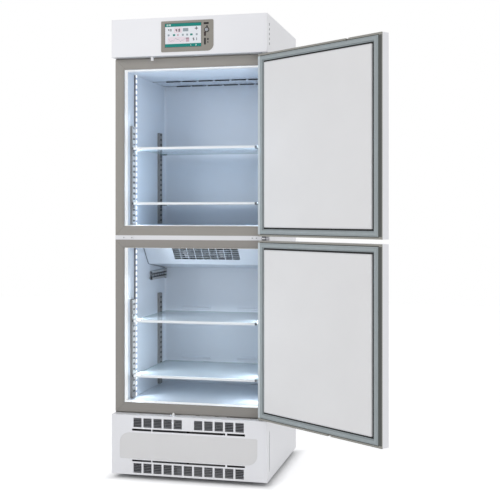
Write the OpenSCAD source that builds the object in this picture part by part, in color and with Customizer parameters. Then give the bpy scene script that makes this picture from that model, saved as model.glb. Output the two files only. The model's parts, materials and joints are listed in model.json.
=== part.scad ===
/* [Cabinet] */
// Overall width of the cabinet
cab_w = 686; // [660:2:720]
// Overall depth of the cabinet with the doors closed
cab_d = 640; // [620:2:680]
// Overall height above the floor
cab_h = 1970; // [1940:5:2010]
// Height of the levelling feet below the cabinet
foot_h = 20; // [18:1:26]
// Height of the machine compartment below the doors
base_h = 254; // [250:1:266]
// Height of the head above the doors
head_h = 161; // [158:1:172]
// Thickness of the folded outer steel sheet
skin_t = 1; // [0.8:0.1:1.5]
// Thickness of the inner liner
liner_t = 0.8; // [0.6:0.1:1.5]
// Depth of the side returns of the two front covers
cover_return = 40; // [36:1:44]
// Radius of the folded upright edges of the two front covers
cover_r = 2.5; // [1.5:0.5:4]

/* [Front frame] */
// Width of the frame stiles beside the openings
stile_w = 40; // [38:0.5:44]
// Height of the top rail of the upper frame
top_rail_h = 44; // [42:0.5:48]
// Height of the bottom rail of the lower frame
sill_rail_h = 40; // [38:0.5:44]
// Height of the bottom rail of the upper frame
mull_rail_up = 41; // [39:0.5:44]
// Height of the top rail of the lower frame
mull_rail_lo = 35; // [33:0.5:38]
// Height of the white strip between the two frames
mull_h = 19; // [18:0.5:21]
// How much taller the upper frame is than the lower one
frame_diff = 17; // [8:1:26]
// Thickness of the front frames
frame_t = 8; // [6:0.5:9]
// Gap between the machine compartment and the lower frame
sill_gap = 5; // [4:0.5:6]
// Gap between the upper frame and the head
head_gap = 4; // [4:0.5:6]

/* [Doors] */
// Opening angle of both doors as they stand in the photograph
door_open = 144.3; // [90:0.1:165]
// Depth of the door from its outer face to its taupe edge profile
door_t = 40.5; // [39:0.5:43]
// Height of the gasket above the edge profile
gasket_h = 6.2; // [5.5:0.1:6.6]
// Width of the gasket
gasket_w = 20; // [18:0.5:21]
// Distance of the gasket from the side edges of the door
gasket_side = 17.5; // [17:0.5:18.5]
// Distance of the gasket from the top and bottom edges of the door
gasket_end = 10.5; // [10:0.5:12]
// Width of the dark groove between the gasket and the inner pan
groove_w = 7.5; // [6:0.5:9]
// Height of the raised inner pan over the edge profile
pan_rise = 5.5; // [4:0.5:6]
// Gap between the two doors
door_gap_mid = 17; // [16:0.5:19]
// Gap between the head and the upper door
door_gap_top = 8; // [7.5:0.5:10]
// Gap between the lower door and the machine compartment
door_gap_low = 4; // [4:0.5:6]
// Diameter of the hinge pins
pin_d = 10; // [8:0.5:10]
// Distance of the hinge axis in from the side of the cabinet
pin_in = 18.1; // [17.5:0.1:18.5]
// Radius of the folded upright edges of the door's outer face
fold_r = 4; // [3:0.5:5]
// Clearance between a swinging door edge and the front frame
swing_gap = 0.8; // [0.5:0.1:1.2]

/* [Interior] */
// Depth of the wall between the cold spaces and the rear sheet
rear_wall = 45; // [40:1:50]
// Radius of the coved rear corners of the liners
cove_r = 12; // [8:1:16]
// Vertical pitch of the slots in the shelf rails
slot_pitch = 24; // [22:0.5:26]
// Distance from the top of the shelf rails to the upper ceiling
rail_free = 239; // [225:1:250]
// Width of a shelf rail
rail_w = 36; // [34:1:38]
// Projection of a shelf rail from the wall
rail_out = 11.5; // [10:0.5:13]
// Depth of the front rails behind the outer face
rail_front_y = 116.5; // [114:0.5:120]
// Distance of the rear rails from the rear wall
rail_rear_in = 68; // [62:1:78]
// Gap between the glass shelves and the rear wall
shelf_back = 54; // [46:1:60]
// Depth of the front edge of the shelves behind the outer face
shelf_y = 78; // [74:1:84]
// Thickness of the shelf glass
glass_t = 5; // [4:0.5:6]
// Height of the front trim of a shelf
trim_h = 10; // [9:0.5:14]
// Free slots above the higher shelf of each space
slots_over = 3; // [2:1:4]
// Free slots below the lower shelf of each space
slots_under = 3; // [2:1:4]

/* [Evaporator housing] */
// Depth of the housing along the ceiling, from the rear wall forward
hous_len = 311; // [295:1:325]
// Drop of the sloping front face
hous_drop = 82; // [78:1:86]
// Setback of the sloping front face
hous_back = 70; // [66:1:74]
// Fall of the underside towards the rear wall
hous_fall = 30; // [26:1:34]
// Number of slot columns in the grille
grille_cols = 9; // [7:1:11]
// Number of slot rows in the grille
grille_rows = 6; // [5:1:7]
// Radius of the fan rotors in the housing
fan_r = 27; // [24:0.5:28]

/* [Controls] */
// Width of the control bezel
bezel_w = 230; // [220:1:240]
// Height of the control bezel
bezel_h = 131; // [126:1:134]
// Large corner radius of the control bezel
bezel_r = 26; // [20:1:30]
// Width of the screen
screen_w = 162; // [150:1:166]
// Height of the screen
screen_h = 103; // [95:1:106]
// Radius of the key switch barrel
key_r = 5.5; // [4.5:0.5:6]

/* [Vents] */
// Pitch of the vent windows
vent_pitch = 45; // [42:0.5:46]
// Width of a vent window
vent_w = 36.5; // [32:0.5:38]
// Number of louvre blades in a vent window
vent_slits = 6; // [4:1:7]
// Thickness of the louvre blades
blade_t = 0.9; // [0.8:0.1:1.2]
// Large corner radius of the pale front panel
panel_r = 42; // [36:1:46]

/* [Hidden] */
$fn = 48;
eps = 0.01;

// Named clearances
fit_gap = 0.05;
seat_gap = 0.3;
cover_gap = 0.8;

// Colours
white = [0.90, 0.90, 0.91];
inner_white = [0.80, 0.85, 0.90];
taupe = [0.63, 0.62, 0.59];
pale_grey = [0.84, 0.84, 0.84];
gasket_grey = [0.63, 0.66, 0.68];
foam_tone = [0.93, 0.88, 0.70];
steel = [0.72, 0.74, 0.76];
dark = [0.16, 0.17, 0.18];
glass_tone = [0.75, 0.88, 0.86];

// Main planes: x across, y depth behind the doors' outer face, z above the floor
xs = cab_w / 2;
yf = -cab_d / 2;
y_frame = door_t + gasket_h + seat_gap;
y_foam = y_frame + frame_t;
y_rear = cab_d - skin_t;
y_wall = cab_d - rear_wall;
z_base = foot_h + base_h;
z_head = cab_h - head_h;
z_fr_bot = z_base + sill_gap;
z_fr_top = z_head - head_gap;
low_frame_h = (z_fr_top - z_fr_bot - mull_h - frame_diff) / 2;
z_mull_lo = z_fr_bot + low_frame_h;
z_mull_up = z_mull_lo + mull_h;
z_mid = (z_mull_lo + z_mull_up) / 2;
x_open = xs - stile_w;
z_lo_bot = z_fr_bot + sill_rail_h;
z_lo_top = z_mull_lo - mull_rail_lo;
z_up_bot = z_mull_up + mull_rail_up;
z_up_top = z_fr_top - top_rail_h;

// Liner: a shallow collar behind the frame, then walls a little closer in
lip_t = 2;
collar_d = 32;
wall_step = 2;
x_wall = x_open - wall_step;
y_collar = y_frame + collar_d;
foam_gap = liner_t + fit_gap;
x_foam = x_wall + foam_gap;
ceil_drop = 4;
ceil_t = 1.5;

// Doors
door_edge = 1;
x_door = xs - door_edge;
z_up_door_bot = z_mid + door_gap_mid / 2;
z_up_door_top = z_head - door_gap_top;
z_lo_door_bot = z_base + door_gap_low;
z_lo_door_top = z_mid - door_gap_mid / 2;
pin_x = xs - pin_in;

// The hinge axis lies at the depth where the rounded door edge just clears the frame as it swings
swing_room = y_frame - swing_gap - 2 * fold_r;
swing_side = pin_in - door_edge - fold_r;
pin_back = fold_r + (swing_room * swing_room - swing_side * swing_side) / (2 * swing_room);
pin_y = yf + pin_back;
edge_r = 2;
pin_depth = 15;
bore_depth = 17;
washer_d = 18;
profile_t = 4;
edge_return = door_t - profile_t;
pocket_w = 15;
pocket_z = 10;
pocket_y = 10;
grip_w = 44;
grip_h = 190;
grip_deep = 20;
grip_in = 34;
grip_low = 120;

// Folded sheet edges and the service slots in the head and the machine compartment
flange = 14;
joggle = 14;
base_lip = 20;
service_slot = [20, 3];
head_slot_x = -39;
base_slot_x = -6;
side_slot_w = 2.5;
side_slot_in = [34, 46];
head_slots = 5;
head_slot_gap = 9;

// Switch plungers, seen as short pegs under the head and over the machine compartment
peg_r = 6;
peg_y = 24;
peg_up_x = -167;
peg_lo_x = -72;
peg_up_len = 16;
peg_lo_len = 12.5;
peg_collar_r = 9;
peg_collar_h = 3;
peg_tail = 12;
sleeve_t = 2;
sleeve_h = 28;
head_lip = peg_y - peg_collar_r - sleeve_t - cover_gap;

// Shelf rails and shelves
slot_first = 20;
slot_w = 14;
slot_h = 6;
rail_t = 1.5;
rail_lift = 5;
rail_up_z = z_up_bot + rail_lift;
rail_lo_z = z_lo_bot + rail_lift;
lo_offset = 12;
rail_h = z_up_top - z_up_bot - rail_free - rail_lift;
rail_rear_y = y_wall - rail_rear_in - rail_w;
rail_slots = floor((rail_h - 2 * slot_first) / slot_pitch);
slot_high = rail_slots - slots_over;
slot_low = slots_under;
x_rail = x_wall - rail_out;
x_glass = x_rail - 14;
trim_d = 9;
clip_t = 3;
shelf_z = [
    rail_up_z + slot_first + slot_pitch * slot_high,
    rail_up_z + slot_first + slot_pitch * slot_low,
    rail_lo_z + slot_first + lo_offset + slot_pitch * slot_high,
    rail_lo_z + slot_first + lo_offset + slot_pitch * slot_low
];

// Air vents in the false ceiling
hood_len = 66;
hood_h = 6;
hood_d = 18;
hood_t = 1;

// Light strips
led_y = 165;
led_w = 20;
led_out = 8;

// Evaporator housing
hous_t = 1.2;
hous_end = 2;
hous_y = y_wall - hous_len;
z_hous = z_lo_top - wall_step;
hous_ang = atan2(hous_back, hous_drop);
grille_x = -10;
grille_w = 317;
grille_h = 76;
grille_edge = 4;
grille_t = 1.5;
grille_back = hous_t + fit_gap + grille_t;
fan_off = 84;
fan_box = 60;
fan_deep = 16;
fan_down = 50;
shaft_r = 2;

// Vents
vent_cols = 11;
louvre_ang = 32;
louvre_d = 7;
vent_up_z0 = 223.5;
vent_up_z1 = 263;
vent_lo_z0 = 28.5;
vent_lo_z1 = 69.5;
slot_up_z0 = 207.5;
slot_up_z1 = 216.5;
slot_lo_z0 = 76;
slot_lo_z1 = 84;
panel_z0 = 88;
panel_z1 = 199;
panel_x0 = -305;
panel_x1 = 301;
panel_small_r = 8;
slot_spans = [[-249, -163], [-158, 163], [171, 248]];

// Controls
bezel_x0 = -118;
bezel_z0 = z_head + 13.5;
bezel_proud = 2;
bezel_deep = 6;
bezel_inset = 8;
port_x = 70;
screen_x0 = -102;
screen_z0 = bezel_z0 + 18.5;
key_x = 83;
key_z = bezel_z0 + 88.5;
key_proud = 4;

// Feet
foot_in = 45;
foot_front_in = 110;
foot_pad_r = 22;
foot_stem_r = 5;
foot_stem_up = 24;
foot_boss_h = 24;
foot_boss_r = 13;

// Machine compartment
tray_t = 1.5;
cond_x0 = -285;
cond_x1 = -35;
cond_z0 = 38;
cond_z1 = 232;
cond_y = 60;
cond_d = 44;
cond_fan_r = 80;
cond_shaft_r = 4;
comp_x = 130;
comp_y = 420;
comp_r = 82;
comp_h = 130;
comp_foot = [78, 57];
comp_rail = 8;
rear_slot_x = -230;
rear_slot_z = 128;
inlet_x = 210;
inlet_z = 205;

// Shared shapes

// Box from two corners, y counted from the doors' outer face
module block(x0, x1, y0, y1, z0, z1) {
    translate([x0, yf + y0, z0]) cube([x1 - x0, y1 - y0, z1 - z0]);
}

// Extrudes an x-z outline from depth y0 to depth y1
module front_plate(y0, y1) {
    translate([0, yf + y1, 0]) rotate([90, 0, 0]) linear_extrude(height = y1 - y0) children();
}

// Extrudes a y-z outline from x0 to x1
module side_plate(x0, x1) {
    translate([x0, yf, 0]) rotate([90, 0, 90]) linear_extrude(height = x1 - x0) children();
}

module rect(x0, x1, z0, z1) {
    translate([x0, z0]) square([x1 - x0, z1 - z0]);
}

// Sharp tip that a rounded corner takes away; sx and sz point into the outline
module corner_tip(x, z, r, sx, sz) {
    difference() {
        translate([min(x, x + sx * r) - (sx > 0 ? 1 : 0), min(z, z + sz * r) - (sz > 0 ? 1 : 0)])
            square(r + 1);
        translate([x + sx * r, z + sz * r]) circle(r = r);
    }
}

// Rectangle with its own radius at each corner
module rect4(x0, x1, z0, z1, tl, tr, bl, br) {
    difference() {
        rect(x0, x1, z0, z1);
        corner_tip(x0, z1, tl, 1, -1);
        corner_tip(x1, z1, tr, -1, -1);
        corner_tip(x0, z0, bl, 1, 1);
        corner_tip(x1, z0, br, -1, 1);
    }
}

// Plan from the outer face to depth y1, drawn in by g, with rounded upright front edges
module rounded_plan(half, r, g, y1) {
    difference() {
        translate([-half + g, g]) square([2 * (half - g), y1 - g]);
        for (s = [-1, 1]) corner_tip(s * (half - g), g, r - g, -s, 1);
    }
}

// Block over that plan, from z0 to z1
module rounded_block(half, r, g, y1, z0, z1) {
    translate([0, yf, z0]) linear_extrude(height = z1 - z0) rounded_plan(half, r, g, y1);
}

module ring(x0, x1, z0, z1, side, bottom, top) {
    difference() {
        rect(x0, x1, z0, z1);
        rect(x0 + side, x1 - side, z0 + bottom, z1 - top);
    }
}

// Upright cylinder, y counted from the doors' outer face
module post(x, y, r, z0, z1) {
    translate([x, yf + y, z0]) cylinder(r = r, h = z1 - z0);
}

// Cylinder along the depth
module spindle(x, z, r, y0, y1) {
    translate([x, yf + y1, z]) rotate([90, 0, 0]) cylinder(r = r, h = y1 - y0);
}

// Outer shell

// Side sheet with front flanges, joggles and slots behind the two covers, and returned rear edge
module side_skin() {
    front_low = cover_return + cover_gap;
    slot_y = front_low + 3;
    low = foot_h + side_slot_in[0];
    high = z_base - side_slot_in[1];
    head_pitch = (head_h - 2 * side_slot_in[0] + head_slot_gap) / head_slots;
    difference() {
        union() {
            block(xs - skin_t, xs, y_foam, cab_d, foot_h, cab_h);
            block(xs - skin_t, xs, front_low, y_foam, foot_h, z_base);
            block(xs - skin_t, xs, front_low, y_foam, z_head, cab_h);
            block(xs - 2 * skin_t, xs - skin_t, front_low - joggle, y_foam, foot_h + 3, z_base - 3);
            block(xs - 2 * skin_t, xs - skin_t, front_low - joggle, y_foam, z_head + 3, cab_h - 3);
            block(xs - flange, xs - skin_t, cab_d - skin_t, cab_d, foot_h, cab_h);
            block(xs - flange, xs - skin_t, y_foam + 4, y_rear, cab_h - skin_t, cab_h);
        }
        block(xs - 3 * skin_t, xs + 1, slot_y, slot_y + side_slot_w, low, high);
        for (k = [0 : head_slots - 1]) {
            z = z_head + side_slot_in[0] + k * head_pitch;
            block(xs - 3 * skin_t, xs + 1, slot_y, slot_y + side_slot_w, z, z + head_pitch - head_slot_gap);
        }
    }
}

module side_skin_right() {
    color(white) side_skin();
}

module side_skin_left() {
    color(white) mirror([1, 0, 0]) side_skin();
}

// Rear sheet with a slotted field over the machine compartment and a recessed inlet
module back_skin() {
    x_back = xs - flange - cover_gap;
    z0 = foot_h + 2;
    z1 = cab_h - skin_t;
    socket = 14;
    slot = [76, 7];
    pitch = [96, 20];
    color(white) difference() {
        union() {
            block(-x_back, x_back, y_rear, cab_d, z0, z1);
            block(-x_back, x_back, y_rear - flange, y_rear, z0, z0 + skin_t);
            block(-x_back, x_back, y_rear - flange, y_rear, z1 - skin_t, z1);
            block(inlet_x - 30, inlet_x + 30, y_rear - 32, y_rear, inlet_z - 26, inlet_z + 26);
        }
        block(inlet_x - 24, inlet_x + 24, cab_d - socket, cab_d + 1, inlet_z - 15, inlet_z + 15);
        for (i = [0 : 3], j = [0 : 5])
            block(rear_slot_x + i * pitch[0], rear_slot_x + i * pitch[0] + slot[0], y_rear - 1, cab_d + 1,
                rear_slot_z + j * pitch[1], rear_slot_z + j * pitch[1] + slot[1]);
    }
    color(dark) for (k = [-1, 0, 1])
        block(inlet_x + k * 10 - 1.5, inlet_x + k * 10 + 1.5, cab_d - socket - eps, cab_d - 6,
            inlet_z - 4 + 5 * (1 - abs(k)), inlet_z + 2 + 5 * (1 - abs(k)));
}

// Top sheet lying between the side sheets, with turned-down edges
module top_skin() {
    x_top = xs - flange - cover_gap;
    front = cover_return + cover_gap;
    color(white) {
        block(-x_top, x_top, front, y_rear, cab_h - skin_t, cab_h);
        block(-x_top, x_top, front - joggle, front + 6, cab_h - 2 * skin_t, cab_h - skin_t);
        for (s = [-1, 1])
            block(s * x_top - (s > 0 ? skin_t : 0), s * x_top + (s > 0 ? 0 : skin_t),
                y_foam + 6, y_rear - flange - 2, cab_h - flange, cab_h - skin_t);
    }
}

// Folded cover: front face with side, top and bottom returns; what is deeper lies between the side sheets
module folded_cover(z0, z1, top_d, bottom_d) {
    x_in = xs - 2 * skin_t - fit_gap;
    difference() {
        rounded_block(xs, cover_r, 0, cover_return, z0, z1);
        rounded_block(xs, cover_r, skin_t, cover_return + 1, z0 + skin_t, z1 - skin_t);
        block(-xs + skin_t, xs - skin_t, bottom_d, cover_return + 1, z0 - 1, z0 + skin_t + 1);
    }
    block(-x_in, x_in, cover_return - joggle, top_d, z1 - skin_t, z1);
}

module head_cover() {
    color(white) difference() {
        folded_cover(z_head, cab_h, cover_return, head_lip);
        front_plate(-1, skin_t + 1) bezel_outline(bezel_inset);
    }
}

// Underside of the head with the guide sleeve of the upper door switch
module head_floor() {
    x1 = xs - 2 * skin_t;
    y0 = head_lip + cover_gap / 2;
    color(pale_grey) difference() {
        union() {
            block(-x1, x1, y0, y_rear, z_head, z_head + skin_t);
            block(-x1, x1, y0, y0 + skin_t, z_head, z_head + flange / 2);
            for (s = [-1, 1])
                block(s * x1 - (s > 0 ? skin_t : 0), s * x1 + (s > 0 ? 0 : skin_t),
                    y_foam + 2, y_rear, z_head, z_head + flange);
            post(peg_up_x, peg_y, peg_collar_r + sleeve_t, z_head, z_head + sleeve_h);
        }
        post(peg_up_x, peg_y, peg_r + fit_gap, z_head - 1, z_head + 3);
        post(peg_up_x, peg_y, peg_collar_r + fit_gap, z_head + skin_t, z_head + sleeve_h + 1);
        block(head_slot_x, head_slot_x + service_slot[0], peg_y + 6, peg_y + 6 + service_slot[1],
            z_head - 1, z_head + skin_t + 1);
    }
}

// Controls

// Outline of the bezel, drawn in by g from its edge
module bezel_outline(g) {
    r = max(4 - g, 1);
    rect4(bezel_x0 + g, bezel_x0 + bezel_w - g, bezel_z0 + g, bezel_z0 + bezel_h - g, r, r, r, bezel_r - g);
}

module control_bezel() {
    port = [22, 8];
    port_z = key_z + 23;
    tongue = [15, 2];
    bar_w = 5;
    color(taupe) difference() {
        union() {
            front_plate(-bezel_proud, 0) bezel_outline(0);
            front_plate(0, bezel_deep) bezel_outline(bezel_inset + seat_gap);
            spindle(key_x, key_z, key_r + 2.5, -bezel_proud - 1.5, 0);
        }
        block(screen_x0, screen_x0 + screen_w, -bezel_proud - 1, 1, screen_z0, screen_z0 + screen_h);
        spindle(key_x, key_z, key_r + fit_gap, -bezel_proud - 3, bezel_deep + 1);
        block(port_x, port_x + port[0], -bezel_proud - 1, 3, port_z, port_z + port[1]);
        for (bar = [[key_z - 26, key_z - 9], [key_z - 62, key_z - 35]])
            block(port_x + 3, port_x + 3 + bar_w, -bezel_proud - 1, -bezel_proud + 0.6, bar[0], bar[1]);
    }
    color(dark) block(port_x + 3, port_x + 3 + tongue[0], -bezel_proud + 1, 3,
        port_z + 2.5, port_z + 2.5 + tongue[1]);
}

module screen() {
    color(dark) block(screen_x0 + seat_gap, screen_x0 + screen_w - seat_gap,
        -bezel_proud + 0.5, 1, screen_z0 + seat_gap, screen_z0 + screen_h - seat_gap);
}

// Key barrel with its slot, turning in the bezel and held by a collar behind it
module key_switch() {
    color(steel) difference() {
        union() {
            spindle(key_x, key_z, key_r, -bezel_proud - key_proud, bezel_deep + 4);
            spindle(key_x, key_z, key_r + 2, bezel_deep + seat_gap, bezel_deep + 4);
        }
        block(key_x - 0.9, key_x + 0.9, -bezel_proud - key_proud - 1, -bezel_proud - 1,
            key_z - 3.8, key_z + 3.8);
    }
}

// Machine compartment

// One window through the sheet
module vent_cut(x, z0, z1) {
    rect(x - vent_w / 2, x + vent_w / 2, z0, z1);
}

// Louvre blades behind one window, falling inwards and held by the sheet at both ends
module vent_blades(x, z0, z1) {
    pitch = (z1 - z0) / vent_slits;
    len = vent_w + 2;
    for (k = [0 : vent_slits - 1])
        translate([x - len / 2, yf + skin_t - 0.5, z0 + (k + 1) * pitch - 2 * blade_t])
            rotate([-louvre_ang, 0, 0]) cube([len, louvre_d, blade_t]);
}

function vent_x(i) = (i - (vent_cols - 1) / 2) * vent_pitch;

// Columns of the upper row leave the middle one out
upper_cols = [for (i = [0 : vent_cols - 1]) if (i != (vent_cols - 1) / 2) i];

module base_cover() {
    color(white) difference() {
        union() {
            folded_cover(foot_h, z_base, y_frame - 1, base_lip);
            post(peg_lo_x, peg_y, peg_collar_r + sleeve_t, z_base - sleeve_h, z_base);
            for (i = upper_cols) vent_blades(vent_x(i), vent_up_z0, vent_up_z1);
            for (i = [0 : vent_cols - 1]) vent_blades(vent_x(i), vent_lo_z0, vent_lo_z1);
        }
        front_plate(-1, skin_t) {
            for (i = upper_cols) vent_cut(vent_x(i), vent_up_z0, vent_up_z1);
            for (i = [0 : vent_cols - 1]) vent_cut(vent_x(i), vent_lo_z0, vent_lo_z1);
            for (s = slot_spans) {
                rect(s[0], s[1], slot_up_z0, slot_up_z1);
                rect(s[0], s[1], slot_lo_z0, slot_lo_z1);
            }
            rect4(panel_x0, panel_x1, panel_z0, panel_z1, panel_r, panel_small_r, panel_small_r, panel_r);
        }
        post(peg_lo_x, peg_y, peg_r + fit_gap, z_base - 3, z_base + 1);
        post(peg_lo_x, peg_y, peg_collar_r + fit_gap, z_base - sleeve_h - 1, z_base - skin_t);
        block(base_slot_x, base_slot_x + service_slot[0], peg_y + 10, peg_y + 10 + service_slot[1],
            z_base - 3, z_base + 1);
    }
}

// Pale panel set flush in the cover, with a flange behind it
module base_panel() {
    g = seat_gap;
    f = 3.5;
    color(pale_grey) {
        front_plate(0, skin_t)
            rect4(panel_x0 + g, panel_x1 - g, panel_z0 + g, panel_z1 - g,
                panel_r, panel_small_r, panel_small_r, panel_r);
        front_plate(skin_t, skin_t + 1.5)
            rect4(panel_x0 - f, panel_x1 + f, panel_z0 - f, panel_z1 + f,
                panel_r, panel_small_r, panel_small_r, panel_r);
    }
}

foot_x = xs - foot_in;
foot_y0 = foot_front_in;
foot_y1 = cab_d - foot_in;

// Bottom tray with upturned sides and bored bosses for the feet
module base_tray() {
    x_tray = xs - 2 * skin_t;
    y_tray = skin_t + base_lip;
    y1 = y_rear - flange - 0.5;
    rail = 5;
    color(steel) difference() {
        union() {
            block(-x_tray, x_tray, y_tray, y1, foot_h, foot_h + tray_t);
            for (s = [-1, 1])
                block(s * x_tray - (s > 0 ? tray_t : 0), s * x_tray + (s > 0 ? 0 : tray_t),
                    y_tray + 8, y1, foot_h, foot_h + 2 * flange);
            for (x = [-foot_x, foot_x], y = [foot_y0, foot_y1])
                post(x, y, foot_boss_r, foot_h, foot_h + foot_boss_h);
            for (s = [-1, 1])
                block(comp_x - comp_foot[0] - 17, comp_x + comp_foot[0] + 17,
                    comp_y + s * comp_foot[1] - rail, comp_y + s * comp_foot[1] + rail,
                    foot_h, foot_h + comp_rail);
        }
        for (x = [-foot_x, foot_x], y = [foot_y0, foot_y1])
            post(x, y, foot_stem_r + fit_gap, foot_h - 1, foot_h + foot_boss_h + 1);
    }
}

// Levelling foot: moulded pad, hexagon for the spanner and a threaded stem
module foot(x, y) {
    color(dark) {
        post(x, y, foot_pad_r, 0, 5);
        translate([x, yf + y, 5]) cylinder(r1 = foot_pad_r - 2, r2 = 11, h = 5);
    }
    color(steel) {
        translate([x, yf + y, 10]) cylinder(r = 9.5, h = 6, $fn = 6);
        post(x, y, foot_stem_r, 8, foot_h + foot_stem_up);
    }
}

module foot_front_left() {
    foot(-foot_x, foot_y0);
}

module foot_front_right() {
    foot(foot_x, foot_y0);
}

module foot_rear_left() {
    foot(-foot_x, foot_y1);
}

module foot_rear_right() {
    foot(foot_x, foot_y1);
}

// Hermetic compressor: domed shell, weld flange, foot plate, terminal box and pipe stubs
module compressor() {
    z0 = foot_h + comp_rail;
    zb = z0 + 16;
    dome = 38;
    dome_r = (comp_r * comp_r + dome * dome) / (2 * dome);
    color(dark) {
        translate([comp_x, yf + comp_y, 0]) {
            translate([0, 0, zb]) cylinder(r = comp_r, h = comp_h);
            translate([0, 0, zb + comp_h * 0.55]) cylinder(r = comp_r + 5, h = 4);
            translate([0, 0, zb + comp_h]) rotate_extrude() intersection() {
                translate([0, dome - dome_r]) circle(r = dome_r, $fn = 96);
                square([comp_r, dome + 1]);
            }
        }
        block(comp_x - 90, comp_x + 90, comp_y - 68, comp_y + 68, z0 + 12, zb + eps);
        block(comp_x + comp_r - 8, comp_x + comp_r + 26, comp_y - 28, comp_y + 28, zb + 30, zb + 92);
        for (x = [-1, 1], y = [-1, 1])
            post(comp_x + x * comp_foot[0], comp_y + y * comp_foot[1], 10, z0, z0 + 13);
    }
    color([0.72, 0.45, 0.30]) for (k = [-1, 0, 1])
        post(comp_x - 40 + k * 14, comp_y - 40 + k * 6, 4, zb + comp_h, zb + comp_h + 56);
}

// Finned condenser with its tubes, fan shroud and motor bracket
module condenser() {
    fins = 25;
    fin_pitch = (cond_x1 - cond_x0 - 4) / (fins - 1);
    xm = (cond_x0 + cond_x1) / 2;
    zm = (cond_z0 + cond_z1) / 2;
    y1 = cond_y + cond_d;
    shroud = 34;
    arm = cond_fan_r + 6;
    color(steel) {
        for (i = [0 : fins - 1])
            block(cond_x0 + 2 + i * fin_pitch - 0.5, cond_x0 + 2 + i * fin_pitch + 0.5,
                cond_y, y1, cond_z0 + 6, cond_z1 - 6);
        for (z = [cond_z0 + 24 : 36 : cond_z1 - 20], y = [cond_y + 12, cond_y + 32])
            translate([cond_x0, yf + y, z]) rotate([0, 90, 0])
                cylinder(r = 4, h = cond_x1 - cond_x0, $fn = 24);
        block(cond_x0, cond_x1, cond_y, y1, cond_z1 - 6, cond_z1 - 4.5);
        block(cond_x0, cond_x1, cond_y, y1, cond_z0 + 4.5, cond_z0 + 6);
        for (x = [cond_x0 + 20, cond_x1 - 20])
            block(x - 12, x + 12, cond_y + 4, y1 - 4, foot_h + tray_t, cond_z0 + 5);
    }
    color(dark) {
        difference() {
            block(cond_x0, cond_x1, y1, y1 + shroud, cond_z0 + 4.5, cond_z1 - 4.5);
            spindle(xm, zm, cond_fan_r + 3, y1 - 1, y1 + shroud + 1);
        }
        block(xm - arm, xm + arm, y1 + shroud - 4, y1 + shroud, zm - 5, zm + 5);
        block(xm - 5, xm + 5, y1 + shroud - 4, y1 + shroud, zm - arm, zm + arm);
        spindle(xm, zm, 26, y1 + shroud - 4, y1 + shroud + 40);
        spindle(xm, zm, cond_shaft_r, y1 + 8, y1 + shroud);
    }
}

// Axial rotor turning about y: hub with blades trimmed to a circle
module rotor(r, hub_r, deep, blades, bore, pitch_ang) {
    difference() {
        union() {
            cylinder(r = hub_r, h = deep);
            intersection() {
                cylinder(r = r, h = deep);
                union() for (i = [0 : blades - 1])
                    rotate([0, 0, i * 360 / blades]) translate([hub_r - 2, 0, deep / 2])
                        rotate([pitch_ang, 0, 0]) translate([0, -r * 0.36, -0.7])
                            cube([r - hub_r + 4, r * 0.72, 1.4]);
            }
        }
        translate([0, 0, -1]) cylinder(r = bore, h = deep + 2);
    }
}

module condenser_rotor() {
    xm = (cond_x0 + cond_x1) / 2;
    zm = (cond_z0 + cond_z1) / 2;
    y1 = cond_y + cond_d;
    color(steel) translate([xm, yf + y1 + 28, zm]) rotate([90, 0, 0])
        rotor(cond_fan_r, 20, 20, 5, cond_shaft_r + fit_gap, 26);
}

// Insulated body

// Plan of a cold space behind its collar, drawn outwards by g, with coved rear corners
module coved_plan(g) {
    rect(-x_wall - g, x_wall + g, y_collar - eps, y_wall - cove_r);
    rect(-x_wall + cove_r, x_wall - cove_r, y_wall - cove_r - eps, y_wall + g);
    for (s = [-1, 1]) translate([s * (x_wall - cove_r), y_wall - cove_r]) circle(r = cove_r + g);
}

// Cold space from depth y0, drawn outwards by g: a shallow collar, then walls a little closer in
module cold_space(z0, z1, g, y0) {
    block(-x_open - g, x_open + g, y0, y_collar + g, z0 - g, z1 + g);
    translate([0, yf, z0 + wall_step - g])
        linear_extrude(height = z1 - z0 - 2 * wall_step + 2 * g) coved_plan(g);
}

module liner(z0, z1) {
    difference() {
        cold_space(z0, z1, liner_t, y_foam);
        cold_space(z0, z1, 0, y_foam - 1);
    }
}

// Foam is cast round both liners, in slabs that meet at flat faces
module cast_round_liners() {
    difference() {
        children();
        cold_space(z_lo_bot, z_lo_top, foam_gap, y_foam - 1);
        cold_space(z_up_bot, z_up_top, foam_gap, y_foam - 1);
    }
}

y_cove = y_wall - cove_r;
plenum_x = x_wall - 39;
plenum_y0 = y_wall - 245;
plenum_h = 30;
coil_x = x_wall - 61;

// Hollow over the slotted ceiling that holds the upper coil
module plenum(z0, z1) {
    block(-plenum_x, plenum_x, plenum_y0, y_wall - 8, z0, z1);
}

module foam_side() {
    cast_round_liners() block(x_foam, xs - skin_t, y_foam, y_rear, z_base, z_head);
}

module foam_right() {
    color(foam_tone) foam_side();
}

module foam_left() {
    color(foam_tone) mirror([1, 0, 0]) foam_side();
}

module foam_back() {
    color(foam_tone) difference() {
        cast_round_liners() block(-x_foam, x_foam, y_cove, y_rear, z_base, z_head);
        plenum(z_up_top, z_up_top + plenum_h);
    }
}

module foam_top() {
    color(foam_tone) difference() {
        cast_round_liners() block(-x_foam, x_foam, y_foam, y_cove, z_up_top - wall_step, z_head);
        plenum(z_up_top - wall_step - 1, z_up_top + plenum_h);
    }
}

module foam_mid() {
    color(foam_tone) cast_round_liners()
        block(-x_foam, x_foam, y_foam, y_cove, z_lo_top - wall_step, z_up_bot + wall_step);
}

module foam_bottom() {
    color(foam_tone) cast_round_liners()
        block(-x_foam, x_foam, y_foam, y_cove, z_base, z_lo_bot + wall_step);
}

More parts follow.
